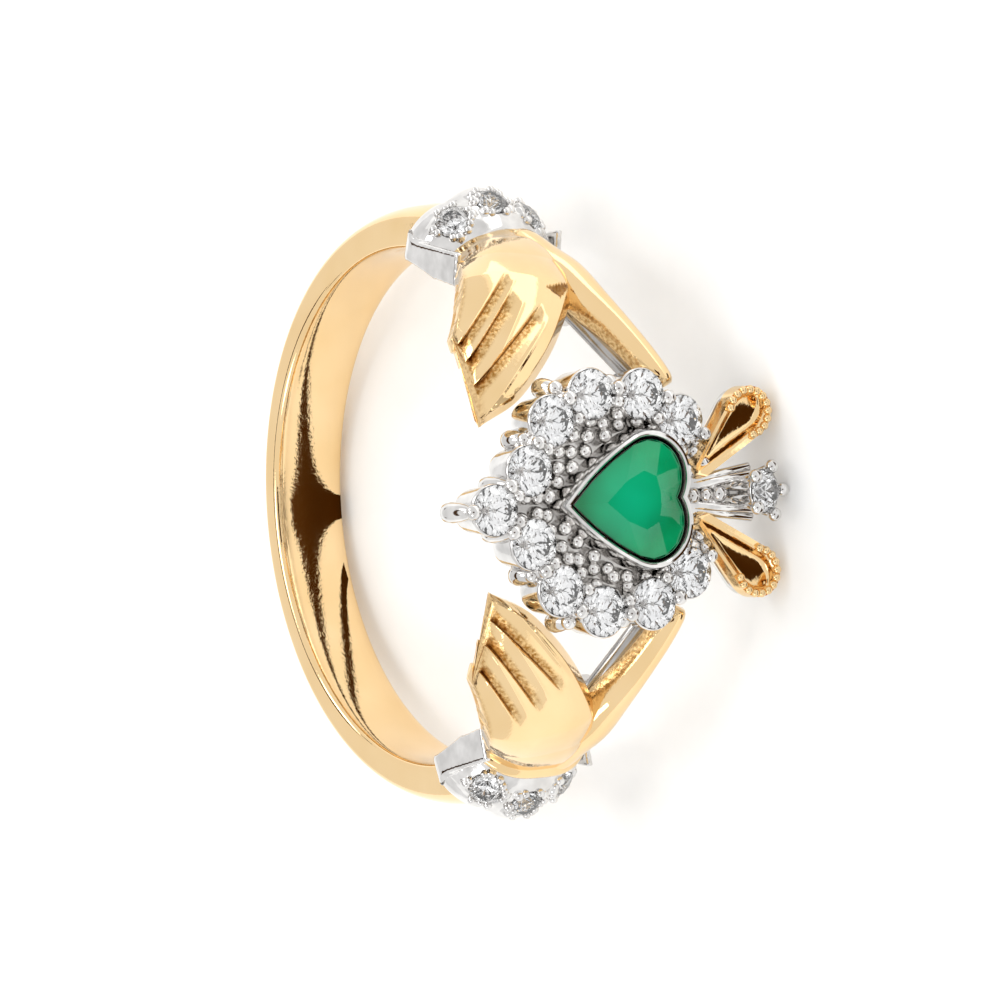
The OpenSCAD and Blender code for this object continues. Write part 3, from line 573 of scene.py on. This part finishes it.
def groove_at(which, angle, z):
    """Depth below the fingers at a point, and how rough and how darkened with painted shade the
    surface is there: each groove has a steep wall on the little finger's side and a slope that rises to a
    thin ridge."""
    drop, wear_and_shade = 0.0, 0.0
    for a0, z0, a1, z1, depth, w0, w1 in GROOVES[which]:
        per_degree = math.radians(FINGER_LINE_R)
        run = Vector(((a1 - a0) * per_degree, z1 - z0))
        length = run.length
        d = run / length
        p = Vector(((angle - a0) * per_degree, z - z0))
        along_it = p.dot(d)
        aside = p.y * d.x - p.x * d.y
        width = w0 + (w1 - w0) * max(0.0, min(1.2, along_it / length))
        open_up = ease(-0.05, 0.7, along_it)
        if -0.05 < aside < width + 0.1:
            wall = ease(-0.05, 0.04, aside)
            slope = max(0.0, 1 - max(0.0, aside - 0.04) / (width - 0.04))
            ridge = 0.05 * max(0.0, 1 - abs(aside - width) / 0.1)
            drop = max(drop, open_up * depth * wall * slope) - open_up * ridge
            # Painted shade: the steep wall is coloured darkest, fading out over 0.1 mm across
            dark = ease(0.1, 0.04, aside)
            rough_w = 0.16 + 0.35 * width
            wear_and_shade = max(wear_and_shade, open_up * wall * (0.5 + 0.5 * dark) * ease(rough_w, rough_w - 0.16, aside))
    return drop, wear_and_shade


def facet_depth(angle, z):
    """How far a point lies inside the small three cornered facet under the crease, on the
    index finger's side of the upper hand."""
    per_degree = math.radians(KNUCKLE_LINE_R)
    side = Vector((1.58 * per_degree, -1.2)).normalized()
    p = Vector(((angle - FACET_ANGLE) * per_degree, z - FACET_Z))
    lateral = p.dot(side)
    down = p.x * side.y - p.y * side.x
    deep = 0.5 * min((lateral + 0.7) / 0.45, (0.75 - lateral) / 0.95)
    return min(down, deep - down)


def knuckle_rise(which, angle, z):
    """A crisp crease runs over the knuckles: the back of the hand meets the fingers there."""
    past = math.radians(angle - CREASE_ANGLE - CREASE_LEAN * z) * KNUCKLE_LINE_R
    rise = 0.2 * max(0.0, 1 - abs(past) / 1.5)
    if which == "lower":
        return rise
    return rise - 0.6 * max(0.0, facet_depth(angle, z))


def hand_height(which, t, u, angle, z):
    s = t * (len(HAND_ROWS) - 1)
    bevel = 0.42 * max(0.0, (u - 0.91) / 0.09) * ease(0.3, 0.6, t)
    crest = along(HAND_ROWS, s, 4) - along(HAND_ROWS, s, 5) * abs(2 * u - 1) ** 3
    return KNUCKLE_H * crest + knuckle_rise(which, angle, z) - bevel - groove_at(which, angle, z)[0]


def hand_point(which, t, turn):
    """A point of the hand: over its back and fingers, then underneath."""
    over = turn < OVER_SHARE
    u = turn / OVER_SHARE if over else 1 - (turn - OVER_SHARE) / (1 - OVER_SHARE)
    u = min(u, LAST_U)
    end_t = 0.9
    end = 1 if t < end_t else math.sqrt(max(0.0, 1 - ((t - end_t) / (1 - end_t)) ** 2))
    middle = PALM_FLOOR + KNUCKLE_H * (0.2 + 0.12 * t)
    lip = LIP_RISE if which == "lower" else 0
    roll = lip * math.sin(math.pi * (t - 0.1) / 0.14) if 0.1 < t < 0.24 else 0
    angle, z = hand_spot(t, u)
    # The finger ends step back where a groove runs out between them
    rim = max(ease(0.1, 0.0, u) * ease(0.4, 0.6, t), ease(0.86, 1.0, t))
    notch = 1.6 * rim * max(0.0, groove_at(which, angle, z)[0])
    angle, z = angle + notch * 3.5, z - notch * 0.7
    # The index finger's tip is blunt
    blunt = ease(0.78, 1.0, u) * ease(0.84, 1.0, t)
    angle, z = angle + 1.9 * blunt, z - 0.1 * blunt
    if over:
        h = hand_height(which, t, u, angle, z) + roll
    else:
        edge = hand_height(which, t, LAST_U, *hand_spot(t, LAST_U)) - 0.35
        h = PALM_FLOOR + (edge - PALM_FLOOR) * abs(2 * u - 1) ** 4
    return polar(angle, FINGER_R + middle + end * (h - middle), z * (1 + 0.3 * roll))


def hand_wear_and_shade(which, t, turn):
    u = turn / OVER_SHARE
    if u > LAST_U:
        return 0.0
    angle, z = hand_spot(t, u)
    wear_and_shade = groove_at(which, angle, z)[1]
    # The small facet is dark in the photo
    # Painted shade: the facet is coloured dark brown gold
    if which == "upper" and facet_depth(angle, z) > 0.02:
        return 0.9
    # The little finger's edge and the finger ends are made a quarter rougher and darker
    ends = max(ease(0.04, 0.0, u) * ease(0.45, 0.6, t), ease(0.97, 1.0, t))
    return min(1.0, wear_and_shade + 0.25 * ends)


def thumb_point(t, turn):
    s = t * (len(THUMB_ROWS) - 1)
    angle = TIP_ANGLE + HAND_SPAN * along(THUMB_ROWS, s, 0)
    z = FINGER_REACH * along(THUMB_ROWS, s, 1)
    h = KNUCKLE_H * along(THUMB_ROWS, s, 2)
    tall = KNUCKLE_H * along(THUMB_ROWS, s, 3)
    wide = THUMB_W * along(THUMB_ROWS, s, 4)
    end = math.sqrt(max(0.0, 1 - (abs(2 * t - 1)) ** 24))
    c, s = math.cos(2 * math.pi * turn), math.sin(2 * math.pi * turn)
    return polar(angle, FINGER_R + h + end * tall * s, z - end * wide * c)


def thumb_wear_and_shade(t, turn):
    """The thumb is rough as cast on the side that faces the fingers, and darker there with painted shade."""
    return 0.45 * ease(0.86, 0.97, -math.cos(2 * math.pi * turn)) * ease(0.4, 0.6, t)


def hand(side):
    palm = shaped_ball("palm", 216, 168, lambda t, turn: hand_point(side, t, turn),
                       lambda t, turn: hand_wear_and_shade(side, t, turn))
    thumb = shaped_ball("thumb", 40, 64, thumb_point, thumb_wear_and_shade)
    whole = join(f"hand_{side}_fingers", [palm, thumb])
    if side == "lower":
        whole.matrix_world = MIRROR
        applied(whole)
    close_up(whole, 0.0005)
    smooth(whole, 65)
    finished(whole, "yellow_gold", GOLD, f"hand_{side}")


# The cuffs

def at_angle(angle):
    return Matrix.Rotation(math.radians(angle), 4, "Z") @ HEAD


def cuff_stone_place(k):
    """Where one of a cuff's three stones sits on the domed top."""
    x, y = (CUFF_STONE_X if k == 2 else 0) - CUFF_DOME_X, (k - 2) * CUFF_STONE_Y
    lean = math.asin(math.hypot(x, y) / CUFF_DOME_R)
    turn = Matrix.Rotation(math.atan2(y, x), 4, "Z") @ Matrix.Rotation(lean, 4, "Y")
    return (at_angle(CUFF_ANGLE) @ moved(CUFF_DOME_X, 0, CUFF_TOP_R - CUFF_DOME_R) @ turn
            @ moved(0, 0, CUFF_DOME_R - CUFF_STONE_D * 0.05))


def lobed(p):
    """Rounds the three lobes of a cuff: a point in the cuff's own frame, Z outward."""
    if p.z < FINGER_R + 0.9:
        return p
    reach = min(math.hypot(p.x - CUFF_LOBE_X, p.y - k * CUFF_LOBE_PITCH)
                for k in (-1, 0, 1)) / CUFF_LOBE_R
    behind = ease(-0.2, 0.6, p.x - CUFF_LOBE_X + 0.5)
    drop = 0.34 * behind * reach ** 3
    outer = 0.22 * behind * ease(0.7, 1.1, abs(p.y))
    corner = 0.7 * ease(-1.0, -2.1, p.x) * ease(-1.8, -2.2, p.y)
    return Vector((p.x, p.y, p.z - drop - corner - outer * ease(0.2, 0.9, p.x)))


def cuff(side):
    """A copy of the solid cuff, made into one skin, rounded and smoothed, with beads added."""
    body = copy_of(frame["nodes"][f"cuff_{side}"])
    body.parent = None
    for key in list(body.keys()):
        del body[key]
    flip = Matrix.Identity(4) if side == "upper" else MIRROR
    to_cuff = (flip @ at_angle(CUFF_ANGLE)).inverted()
    body.matrix_world = to_cuff @ REST.inverted()
    applied(body)
    close_up(body, 0.0005)
    select(body)
    remesh = body.modifiers.new("cast", "REMESH")
    remesh.mode = "VOXEL"
    remesh.voxel_size = CUFF_VOXEL
    bpy.ops.object.modifier_apply(modifier="cast")
    for v in body.data.vertices:
        v.co = lobed(v.co)
    body.data.update()
    soft = body.modifiers.new("soft", "SMOOTH")
    soft.factor = 0.5
    soft.iterations = 5
    bpy.ops.object.modifier_apply(modifier="soft")
    fuller = [v.co + CUFF_FULLER * v.normal for v in body.data.vertices]
    for v, spot in zip(body.data.vertices, fuller):
        v.co = spot
    body.matrix_world = to_cuff.inverted()
    applied(body)
    beads = []
    rows = [(0.02, -0.25), (0.12, -0.2), (0.15, 0.0), (0.125, 0.09), (0.07, 0.14), (0.01, 0.155)]
    bead = turned("cuff_bead", rows, 16)
    for k in (1, 2, 3):
        for turn in (0, 52, 128, 180, 232, 308):
            spot = Matrix.Rotation(math.radians(turn + 26), 4, "Z") @ moved(CUFF_STONE_D / 2 + 0.06, 0, 0.02)
            beads.append(copy_of(bead, flip @ cuff_stone_place(k) @ spot))
    for k in (1.5, 2.5):
        for x in (-0.62, -0.36, 0.42, 0.68):
            beads.append(copy_of(bead, flip @ cuff_stone_place(k) @ moved(x, 0.04 * math.sin(9 * x), 0.03)))
    bpy.data.objects.remove(bead)
    for b in beads:
        applied(b)
    whole = join(f"cuff_{side}_cast", [body] + beads)
    close_up(whole, 0.0001)
    smooth(whole, 60)
    finished(whole, "white_gold", WHITE_GOLD, f"cuff_{side}")


# The head

HEART_TIP = HEART_LEN / 2
LOBE_X = HEART_W / 2 - HEART_LOBE_R
LOBE_Y = HEART_LOBE_R - HEART_LEN / 2
TIP_TO_LOBE = math.hypot(LOBE_X, HEART_TIP - LOBE_Y)
SIDE_TURN = math.acos((TIP_TO_LOBE ** 2 + HEART_SIDE_R ** 2 - (HEART_SIDE_R - HEART_LOBE_R) ** 2)
                      / (2 * TIP_TO_LOBE * HEART_SIDE_R))
SIDE_DIR = math.atan2(LOBE_Y - HEART_TIP, LOBE_X) - SIDE_TURN
SIDE_MID = (HEART_SIDE_R * math.cos(SIDE_DIR), HEART_TIP + HEART_SIDE_R * math.sin(SIDE_DIR))
JOIN_DIR = math.atan2(LOBE_Y - SIDE_MID[1], LOBE_X - SIDE_MID[0])
HALO_ORDER = (11, 10, 9, 8, 7, 1, 2, 3, 4, 5, 6)


def heart_point(share, grow):
    """A point round the heart grown by a distance: 0 and 1 at its tip, 0.5 at its notch."""
    half = 2 * (share if share <= 0.5 else 1 - share)
    flip = 1 if share <= 0.5 else -1
    split = 0.52
    if half < split:
        r = HEART_SIDE_R + grow
        tip = math.acos(-SIDE_MID[0] / r)
        turn = tip + (JOIN_DIR - tip) * half / split
        x, y = SIDE_MID[0] + r * math.cos(turn), SIDE_MID[1] + r * math.sin(turn)
    else:
        r = HEART_LOBE_R + grow
        notch = -math.acos(max(-1, -LOBE_X / r))
        turn = JOIN_DIR + (notch - JOIN_DIR) * (half - split) / (1 - split)
        x, y = LOBE_X + r * math.cos(turn), LOBE_Y + r * math.sin(turn)
    return flip * x, y


def seat_spot(k):
    x, y = HALO_SEATS[(k - 5 if k > 6 else k) - 1]
    return Vector(((-x if k > 6 else x) * HALO_PITCH, y * HALO_PITCH))


def claw_spot(i, out):
    """A claw stands between two seats, out by the given share of the claw's reach."""
    a, b = seat_spot(HALO_ORDER[i]), seat_spot(HALO_ORDER[i + 1])
    run = (b - a).normalized()
    reach = math.sqrt(max(0.04, (HALO_STONE_D / 2 + CLAW_GAP) ** 2 - ((b - a).length / 2) ** 2))
    return (a + b) / 2 + out * reach * Vector((-run.y, run.x))


def end_claw_spot(side):
    a, b = seat_spot(6), seat_spot(5)
    p = a + (HALO_STONE_D / 2 + CLAW_GAP) * (a - b).normalized()
    return Vector((side * p.x, p.y))


def bezel():
    """The heart's bezel: a rounded rim, a groove inside it darkened with painted shade, and a thin lip on
    the stone.
    """
    section = [(0.38, 10.05), (0.40, 10.5), (0.39, 11.0), (0.37, 11.24), (0.31, 11.37),
               (0.22, RIM_LEVEL), (0.16, 11.37), (0.13, 11.28), (0.115, 11.1), (0.09, 11.04),
               (0.06, 11.1), (0.045, 11.22), (0.02, 11.27), (-0.005, 11.22), (-0.02, 11.05), (-0.1, 10.3)]

    def place(around, across):
        s = across * len(section)
        i = int(s) % len(section)
        j = (i + 1) % len(section)
        f = s - int(s)
        grow = section[i][0] * (1 - f) + section[j][0] * f
        z = section[i][1] * (1 - f) + section[j][1] * f
        x, y = heart_point(around, grow)
        return Vector((x, y, z))

    def mark(across):
        # Painted shade: the groove inside the rim and the bezel's foot are coloured dark, the rows beside
        # the groove partly
        row = round(across * len(section)) % len(section)
        return 1.0 if row in (0, 8, 9, 10) else 0.4 if row in (7, 11) else 0.0

    return smooth(shaped_grid("bezel", 144, len(section), place, mark), 45)


def cup():
    """A deep cup with the bearing that a round stone sits in."""
    r = HALO_STONE_D / 2
    rows = [(0.36, 10.2), (0.36, 9.4), (0.68, 9.4), (0.74, 9.6), (r - 0.04, 10.2), (r + 0.04, 10.7),
            (r + 0.05, 10.82), (r + 0.01, 10.87), (r - 0.05, 10.82), (0.36, 10.2)]
    return smooth(turned("cup", rows, 40), 50)


def outer_claw(foot, top, bead):
    """A claw with a round bead on top, a waist and a fuller rounded foot."""
    tall = top - foot
    rows = [(0.08, foot), (0.22, foot + 0.03), (0.33, foot + 0.1 * tall), (0.36, foot + 0.3 * tall),
            (0.31, foot + 0.6 * tall), (0.22, foot + 0.84 * tall), (0.17, foot + 0.9 * tall)]
    for k in range(7):
        turn = math.radians(-50 + k * 23)
        rows.append((bead * math.cos(turn), top + bead * math.sin(turn)))
    rows.append((0.01, top + bead))
    return smooth(turned("claw", rows, 20), 60)


def ball(name, r, sides=16):
    turns = [math.radians(a) for a in (4, 30, 55, 80, 100, 125, 150, 176)]
    rows = [(r * math.sin(a), -r * math.cos(a)) for a in turns]
    return smooth(turned(name, rows, sides), 60)


def deck():
    """A closed plate under the stones, hollowed below for the finger."""
    clear_selection()
    bpy.ops.mesh.primitive_circle_add(vertices=len(HALO_ORDER), radius=1, fill_type="NGON")
    plate = bpy.context.object
    plate.name = plate.data.name = "deck"
    middle = Vector((0, 0.3))
    for v, k in zip(plate.data.vertices, HALO_ORDER):
        p = seat_spot(k)
        p = p - (p - middle).normalized() * 0.5
        v.co = (p.x, p.y, 9.0)
    edit(plate)
    bpy.ops.mesh.extrude_region_move(TRANSFORM_OT_translate={"value": (0, 0, 1.4)})
    bpy.ops.mesh.select_all(action="SELECT")
    bpy.ops.mesh.normals_make_consistent(inside=False)
    bpy.ops.object.mode_set(mode="OBJECT")
    clear_selection()
    bpy.ops.mesh.primitive_cylinder_add(vertices=96, radius=BASKET_BOTTOM, depth=30,
                                        rotation=(math.pi / 2, 0, 0))
    finger = bpy.context.object
    select(plate)
    cut = plate.modifiers.new("finger", "BOOLEAN")
    cut.operation = "DIFFERENCE"
    cut.object = finger
    bpy.ops.object.modifier_apply(modifier="finger")
    bpy.data.objects.remove(finger)
    select(plate)
    edge = plate.modifiers.new("edge", "BEVEL")
    edge.width = 0.05
    edge.segments = 2
    bpy.ops.object.modifier_apply(modifier="edge")
    # Painted shade: the deck's top, down in the pits between the cups and the bezel, is coloured darker
    return with_painted_shade(smooth(plate, 40), lambda p: 0.4 * ease(10.2, 10.3, p.z))


def spread_along_heart(count, grow):
    """Evenly spaced points round the heart grown by a distance."""
    fine = [Vector(heart_point(k / 720, grow)) for k in range(721)]
    runs = [0.0]
    for a, b in zip(fine, fine[1:]):
        runs.append(runs[-1] + (b - a).length)
    spots, i = [], 0
    for k in range(count):
        goal = runs[-1] * (k + 0.5) / count
        while runs[i + 1] < goal:
            i += 1
        spots.append(fine[i])
    return spots


def thumb_braces():
    fork = polar(TIP_ANGLE + HAND_SPAN * 0.58, FINGER_R + KNUCKLE_H * 0.42, -0.13 * FINGER_REACH)
    seat = seat_spot(6)
    base = Vector((seat.x + 0.34, -BASKET_BOTTOM - BRACE_R * 0.2, seat.y - 0.34))
    bars = []
    for side in (1, -1):
        a, b = Vector((side * base.x, base.y, base.z)), Vector((side * fork.x, fork.y, fork.z))
        bar = smooth(rod("brace", a, b, BRACE_R, BRACE_R * 0.9), 60)
        # Painted shade: the braces, which stand behind the thumbs, are coloured darker all over
        bars.append(with_painted_shade(bar, lambda p: 0.45))
    return bars


def head():
    parts = [deck(), bezel()]
    seat = cup()
    for k in range(1, 12):
        p = seat_spot(k)
        parts.append(copy_of(seat, moved(p.x, p.y, 0)))
    tall = outer_claw(9.32, HALO_LEVEL + 0.13, 0.265)
    short = outer_claw(10.0, HALO_LEVEL + 0.13, 0.24)
    for i in range(10):
        p = claw_spot(i, 1)
        parts.append(copy_of(tall, moved(p.x, p.y, 0)))
        p = claw_spot(i, -1.15)
        parts.append(copy_of(short, moved(p.x, p.y, -0.05)))
    p = seat_spot(1) + Vector((0, HALO_STONE_D / 2 + CLAW_GAP))
    parts.append(copy_of(tall, moved(p.x, p.y, 0)))
    for side in (1, -1):
        p = end_claw_spot(side)
        parts.append(copy_of(short, moved(p.x, p.y, 0)))
    grain = smooth(turned("grain", [(0.14, 10.2), (0.25, 10.45), (0.26, 10.62), (0.23, 10.75), (0.16, 10.84),
                                    (0.06, 10.88), (0.01, 10.885)], 16), 60)
    for count, grow in ((23, 0.66), (27, 1.02), (30, 1.38)):
        for i, p in enumerate(spread_along_heart(count, grow)):
            if min((p - seat_spot(k)).length for k in range(1, 12)) > HALO_STONE_D / 2 - 0.01:
                sway = 0.07 * math.sin(5.1 * i + grow)
                dip = 0.08 * math.sin(3.3 * i + 2 * grow) - 0.06
                parts.append(copy_of(grain, moved(p.x + sway, p.y - sway, dip)))
    drop = outer_claw(9.4, 10.45, 0.26)
    for i in (1, 2, 3, 6, 7, 8):
        p = claw_spot(i, 2.1)
        parts.append(copy_of(drop, moved(p.x, p.y, 0)))
    parts += crown_gallery()
    for spare in (seat, tall, short, grain, drop):
        bpy.data.objects.remove(spare)
    for part in parts:
        part.matrix_world = HEAD @ part.matrix_world
        applied(part)
    whole = join("head_setting_cast", parts + thumb_braces())
    finished(whole, "white_gold", WHITE_GOLD, "head_setting")


# The crown

def crown_place():
    lean = Matrix.Rotation(math.radians(CROWN_LEAN), 4, "X")
    return moved(0, -(BEZEL_END + CROWN_REACH), CROWN_LEVEL) @ lean


def leaf_place(side):
    turn = math.radians(-90 + side * LEAF_ANGLE)
    return moved(side * LEAF_ROOT_X, -(BEZEL_END + 0.72), 0) @ Matrix.Rotation(turn, 4, "Z")


def leaf_half_w(x, grow=0.0):
    tip_r, root_r = LEAF_TIP_R + grow, LEAF_ROOT_R + grow
    lean = math.asin((tip_r - root_r) / LEAF_LEN)
    if x < -root_r * math.sin(lean):
        return math.sqrt(max(0.0, root_r ** 2 - x * x))
    if x > LEAF_LEN - tip_r * math.sin(lean):
        return math.sqrt(max(0.0, tip_r ** 2 - (x - LEAF_LEN) ** 2))
    return (root_r + x * math.sin(lean)) / math.cos(lean)


def leaf_body(side):
    """A leaf with a raised rim round a smooth trough."""
    def place(share, turn):
        x = -LEAF_ROOT_R + (LEAF_LEN + LEAF_ROOT_R + LEAF_TIP_R) * (0.5 - 0.5 * math.cos(math.pi * share))
        w = leaf_half_w(x)
        c, s = math.cos(2 * math.pi * turn), math.sin(2 * math.pi * turn)
        v = math.copysign(abs(c) ** 0.8, c)
        rim = ease(0.46, 0.18, w * (1 - abs(v)))
        top = LEAF_T * (0.3 + 0.28 * v * v + 0.42 * rim)
        z = top * min(1.0, s / 0.25) if s > 0 else 0.12 * max(-1.0, s / 0.25) + 0.12
        return Vector((x, w * v, LEAF_BOTTOM + z))

    body = shaped_ball("leaf", 72, 48, place)
    body.matrix_world = leaf_place(side)
    applied(body)
    close_up(body, 0.0005)
    return smooth(body, 50)


def crown_leaf(side, name):
    parts = [leaf_body(side)]
    bead = ball("leaf_bead", BEAD_R, 14)
    beads, spread = 13, 250
    for k in range(beads):
        turn = math.radians(-spread / 2 + spread * k / (beads - 1))
        spot = moved(LEAF_LEN + (LEAF_TIP_R - BEAD_R * 0.9) * math.cos(turn),
                     (LEAF_TIP_R - BEAD_R * 0.9) * math.sin(turn), LEAF_BOTTOM + LEAF_T)
        parts.append(applied(copy_of(bead, leaf_place(side) @ spot)))
    bpy.data.objects.remove(bead)
    for part in parts:
        part.matrix_world = HEAD @ part.matrix_world
        applied(part)
    whole = join(f"crown_leaf_{name}_gold", parts)
    finished(whole, "yellow_gold", GOLD, f"crown_leaf_{name}")


def crown_gallery():
    """Plates under the leaves, ribs from the heart's notch, and the crown stone's claws."""
    parts = []
    top = LEAF_BOTTOM - 0.03
    for side in (1, -1):
        def place(share, turn):
            x = -0.9 + (LEAF_LEN + 0.9 + LEAF_TIP_R - 0.1) * (0.5 - 0.5 * math.cos(math.pi * share))
            w = max(leaf_half_w(x, -0.1), 0.18 if x < 0.4 else 0)
            c, s = math.cos(2 * math.pi * turn), math.sin(2 * math.pi * turn)
            fade = min(1.0, share * 12, (1 - share) * 200)
            return Vector((x, w * fade * math.copysign(abs(c) ** 0.5, c),
                           top - 0.28 + 0.28 * math.copysign(abs(s) ** 0.5, s)))
        plate = shaped_ball("leaf_plate", 40, 36, place)
        plate.matrix_world = leaf_place(side)
        applied(plate)
        close_up(plate, 0.0005)
        parts.append(smooth(plate, 50))
    r = CROWN_STONE_D / 2
    crown = crown_place()
    rows = [(0.28, -0.75), (0.28, -1.2), (r * 0.55, -1.2), (r * 0.62, -1.1), (r - 0.03, -0.25),
            (r + 0.03, -0.12), (r + 0.01, -0.07), (r - 0.05, -0.08), (0.28, -0.75)]
    cone = smooth(turned("crown_cup", rows, 36), 50)
    cone.matrix_world = crown
    parts.append(applied(cone))
    notch = Vector((0, -BEZEL_END + 0.2, top))
    for turn in (-90, -20, 52, 128, 200):
        a = math.radians(turn)
        tip = crown @ Vector(((r + 0.12) * math.cos(a), (r + 0.12) * math.sin(a), 0.1))
        foot = crown @ Vector(((r * 0.6) * math.cos(a), (r * 0.6) * math.sin(a), -1.0))
        parts.append(smooth(rod("crown_claw", foot, tip, 0.15, 0.14, 14), 60))
        knob = ball("crown_ball", 0.24, 18)
        knob.matrix_world = Matrix.Translation(tip)
        parts.append(applied(knob))
    for side, spread, drop in ((1, 0.8, 0.35), (-1, 0.8, 0.35), (1, 1.15, 0.5), (-1, 1.15, 0.5)):
        end = Vector((side * r * spread, -(BEZEL_END + CROWN_REACH) + 0.3, CROWN_LEVEL - drop))
        start = notch + Vector((side * spread * 0.3, 0, 0))
        parts.append(smooth(rod("crown_rib", start, end, 0.19, 0.15, 14), 60))
    low = Vector((0, -(BEZEL_END + CROWN_REACH) + 0.1, top - 0.25))
    parts.append(smooth(rod("crown_stem", notch + Vector((0, 0.4, -0.25)), low, 0.28, 0.3, 16), 60))
    stem_beads = ((0, 0.42, 0.26, 0.27), (0, 0.92, 0.3, 0.25), (0, 1.45, 0.3, 0.29), (0.36, 1.2, 0.24, 0.22),
                  (-0.36, 1.2, 0.24, 0.22), (0.5, 1.75, 0.3, 0.24), (-0.5, 1.75, 0.3, 0.24))
    for x, y, rise, size in stem_beads:
        knob = ball("stem_ball", size, 18)
        knob.matrix_world = moved(x, -BEZEL_END - y, top + rise)
        parts.append(applied(knob))
    return parts


# The stones

def stones():
    for name, node in frame["nodes"].items():
        if "stone" in name:
            node.data.materials.clear()
            node.data.materials.append(GREEN if name == "heart_stone" else CLEAR)


# Floor, light and camera

def card(name, corners, material):
    """A studio card that shows only in reflections and through the clear stones."""
    clear_selection()
    bpy.ops.mesh.primitive_plane_add(size=1)
    sheet = bpy.context.object
    sheet.name = name
    for v, corner in zip(sheet.data.vertices, corners):
        v.co = corner
    sheet.data.materials.append(material)
    sheet.visible_camera = False
    sheet.visible_diffuse = False
    sheet.visible_shadow = False
    sheet.visible_volume_scatter = False


def lying(x0, x1, y0, y1, z):
    return [(x0, y0, z), (x1, y0, z), (x0, y1, z), (x1, y1, z)]


def standing(x0, x1, y, z0, z1):
    return [(x0, y, z0), (x1, y, z0), (x0, y, z1), (x1, y, z1)]


def flags(low, camera_at, camera_back):
    """Cards that give the photo's dark and bright reflections: most lie just over the floor,
    a pair stands behind the ring, one is far behind it and one is behind the camera."""
    dark, bright = dark_card(), bright_card()
    z = low + 0.0002
    card("heart_flag", lying(-0.0024, 0.0014, -0.0315, -0.0238, z), dark)
    card("band_flag", lying(-0.0005, 0.0003, 0.0, 0.0085, z), dark)
    card("side_flag", lying(-0.0024, -0.0018, 0.003, 0.0075, z), dark)
    for side in (1, -1):
        a, b = sorted((side * 0.0013, side * 0.006))
        card("leaf_flag", lying(a, b, -0.0165, -0.0132, z), dark)
        a, b = sorted((side * 0.01 - 0.0007, side * 0.0137 - 0.0007))
        card("wall_flag", standing(a, b, 0.02, 0.0095, 0.0135), dark)
    card("bright_card", lying(0.018, 0.08, -0.06, 0.0, z), bright)
    card("rear_flag", [(-0.3, 0.45, 0.33), (0.3, 0.45, 0.33), (-0.3, 0.42, 0.43), (0.3, 0.42, 0.43)], dark)
    middle = camera_at + camera_back * 0.02
    side = Vector((0.07, 0, 0))
    rise = camera_back.cross(side).normalized() * 0.07
    card("camera_flag", [middle - side - rise, middle + side - rise,
                         middle - side + rise, middle + side + rise], dark)


def studio():
    low = CAD_BOX[0][2]
    clear_selection()
    bpy.ops.mesh.primitive_plane_add(size=3, location=(0, 0, low - 0.00002))
    floor = bpy.context.object
    floor.name = "paper_floor"
    floor.data.materials.append(white_paper())

    world = bpy.data.worlds.new("white_tent")
    bpy.context.scene.world = world
    world.use_nodes = True
    world.node_tree.nodes["Background"].inputs["Color"].default_value = (1, 1, 1, 1)
    world.node_tree.nodes["Background"].inputs["Strength"].default_value = 0.97

    lamps = [("soft_overhead", (0.06, 0.12, 0.5), 0.22, 0.55),
             ("soft_left", (0.30, 0.22, 0.30), 0.16, 0.30),
             ("soft_right", (-0.34, -0.10, 0.34), 0.16, 0.25)]
    for name, at, size, power in lamps:
        lamp = bpy.data.lights.new(name, "AREA")
        lamp.shape = "SQUARE"
        lamp.size = size
        lamp.energy = power
        holder = bpy.data.objects.new(name, lamp)
        bpy.context.scene.collection.objects.link(holder)
        holder.location = at
        holder.rotation_euler = Vector(at).to_track_quat("Z", "Y").to_euler()

    turn = Matrix.Rotation(-TILT, 3, "X")
    right, up = turn @ Vector(CAMERA_RIGHT), turn @ Vector(CAMERA_UP)
    back = right.cross(up).normalized()
    right = up.cross(back).normalized()
    camera = bpy.data.cameras.new("photo_camera")
    camera.lens = CAMERA_LENS
    camera.sensor_width = 36
    camera.clip_start = 0.01
    camera.clip_end = 10
    holder = bpy.data.objects.new("photo_camera", camera)
    bpy.context.scene.collection.objects.link(holder)
    at = turn @ Vector(CAMERA_AT) * 0.001
    holder.matrix_world = Matrix((right, up, back)).transposed().to_4x4()
    holder.location = at
    bpy.context.scene.camera = holder
    flags(low, at, back)
    bpy.context.scene.view_settings.view_transform = "Standard"


band()
for which in ("upper", "lower"):
    hand(which)
    cuff(which)
head()
crown_leaf(1, "upper")
crown_leaf(-1, "lower")
stones()
studio()

clear_selection()
bpy.context.view_layer.update()
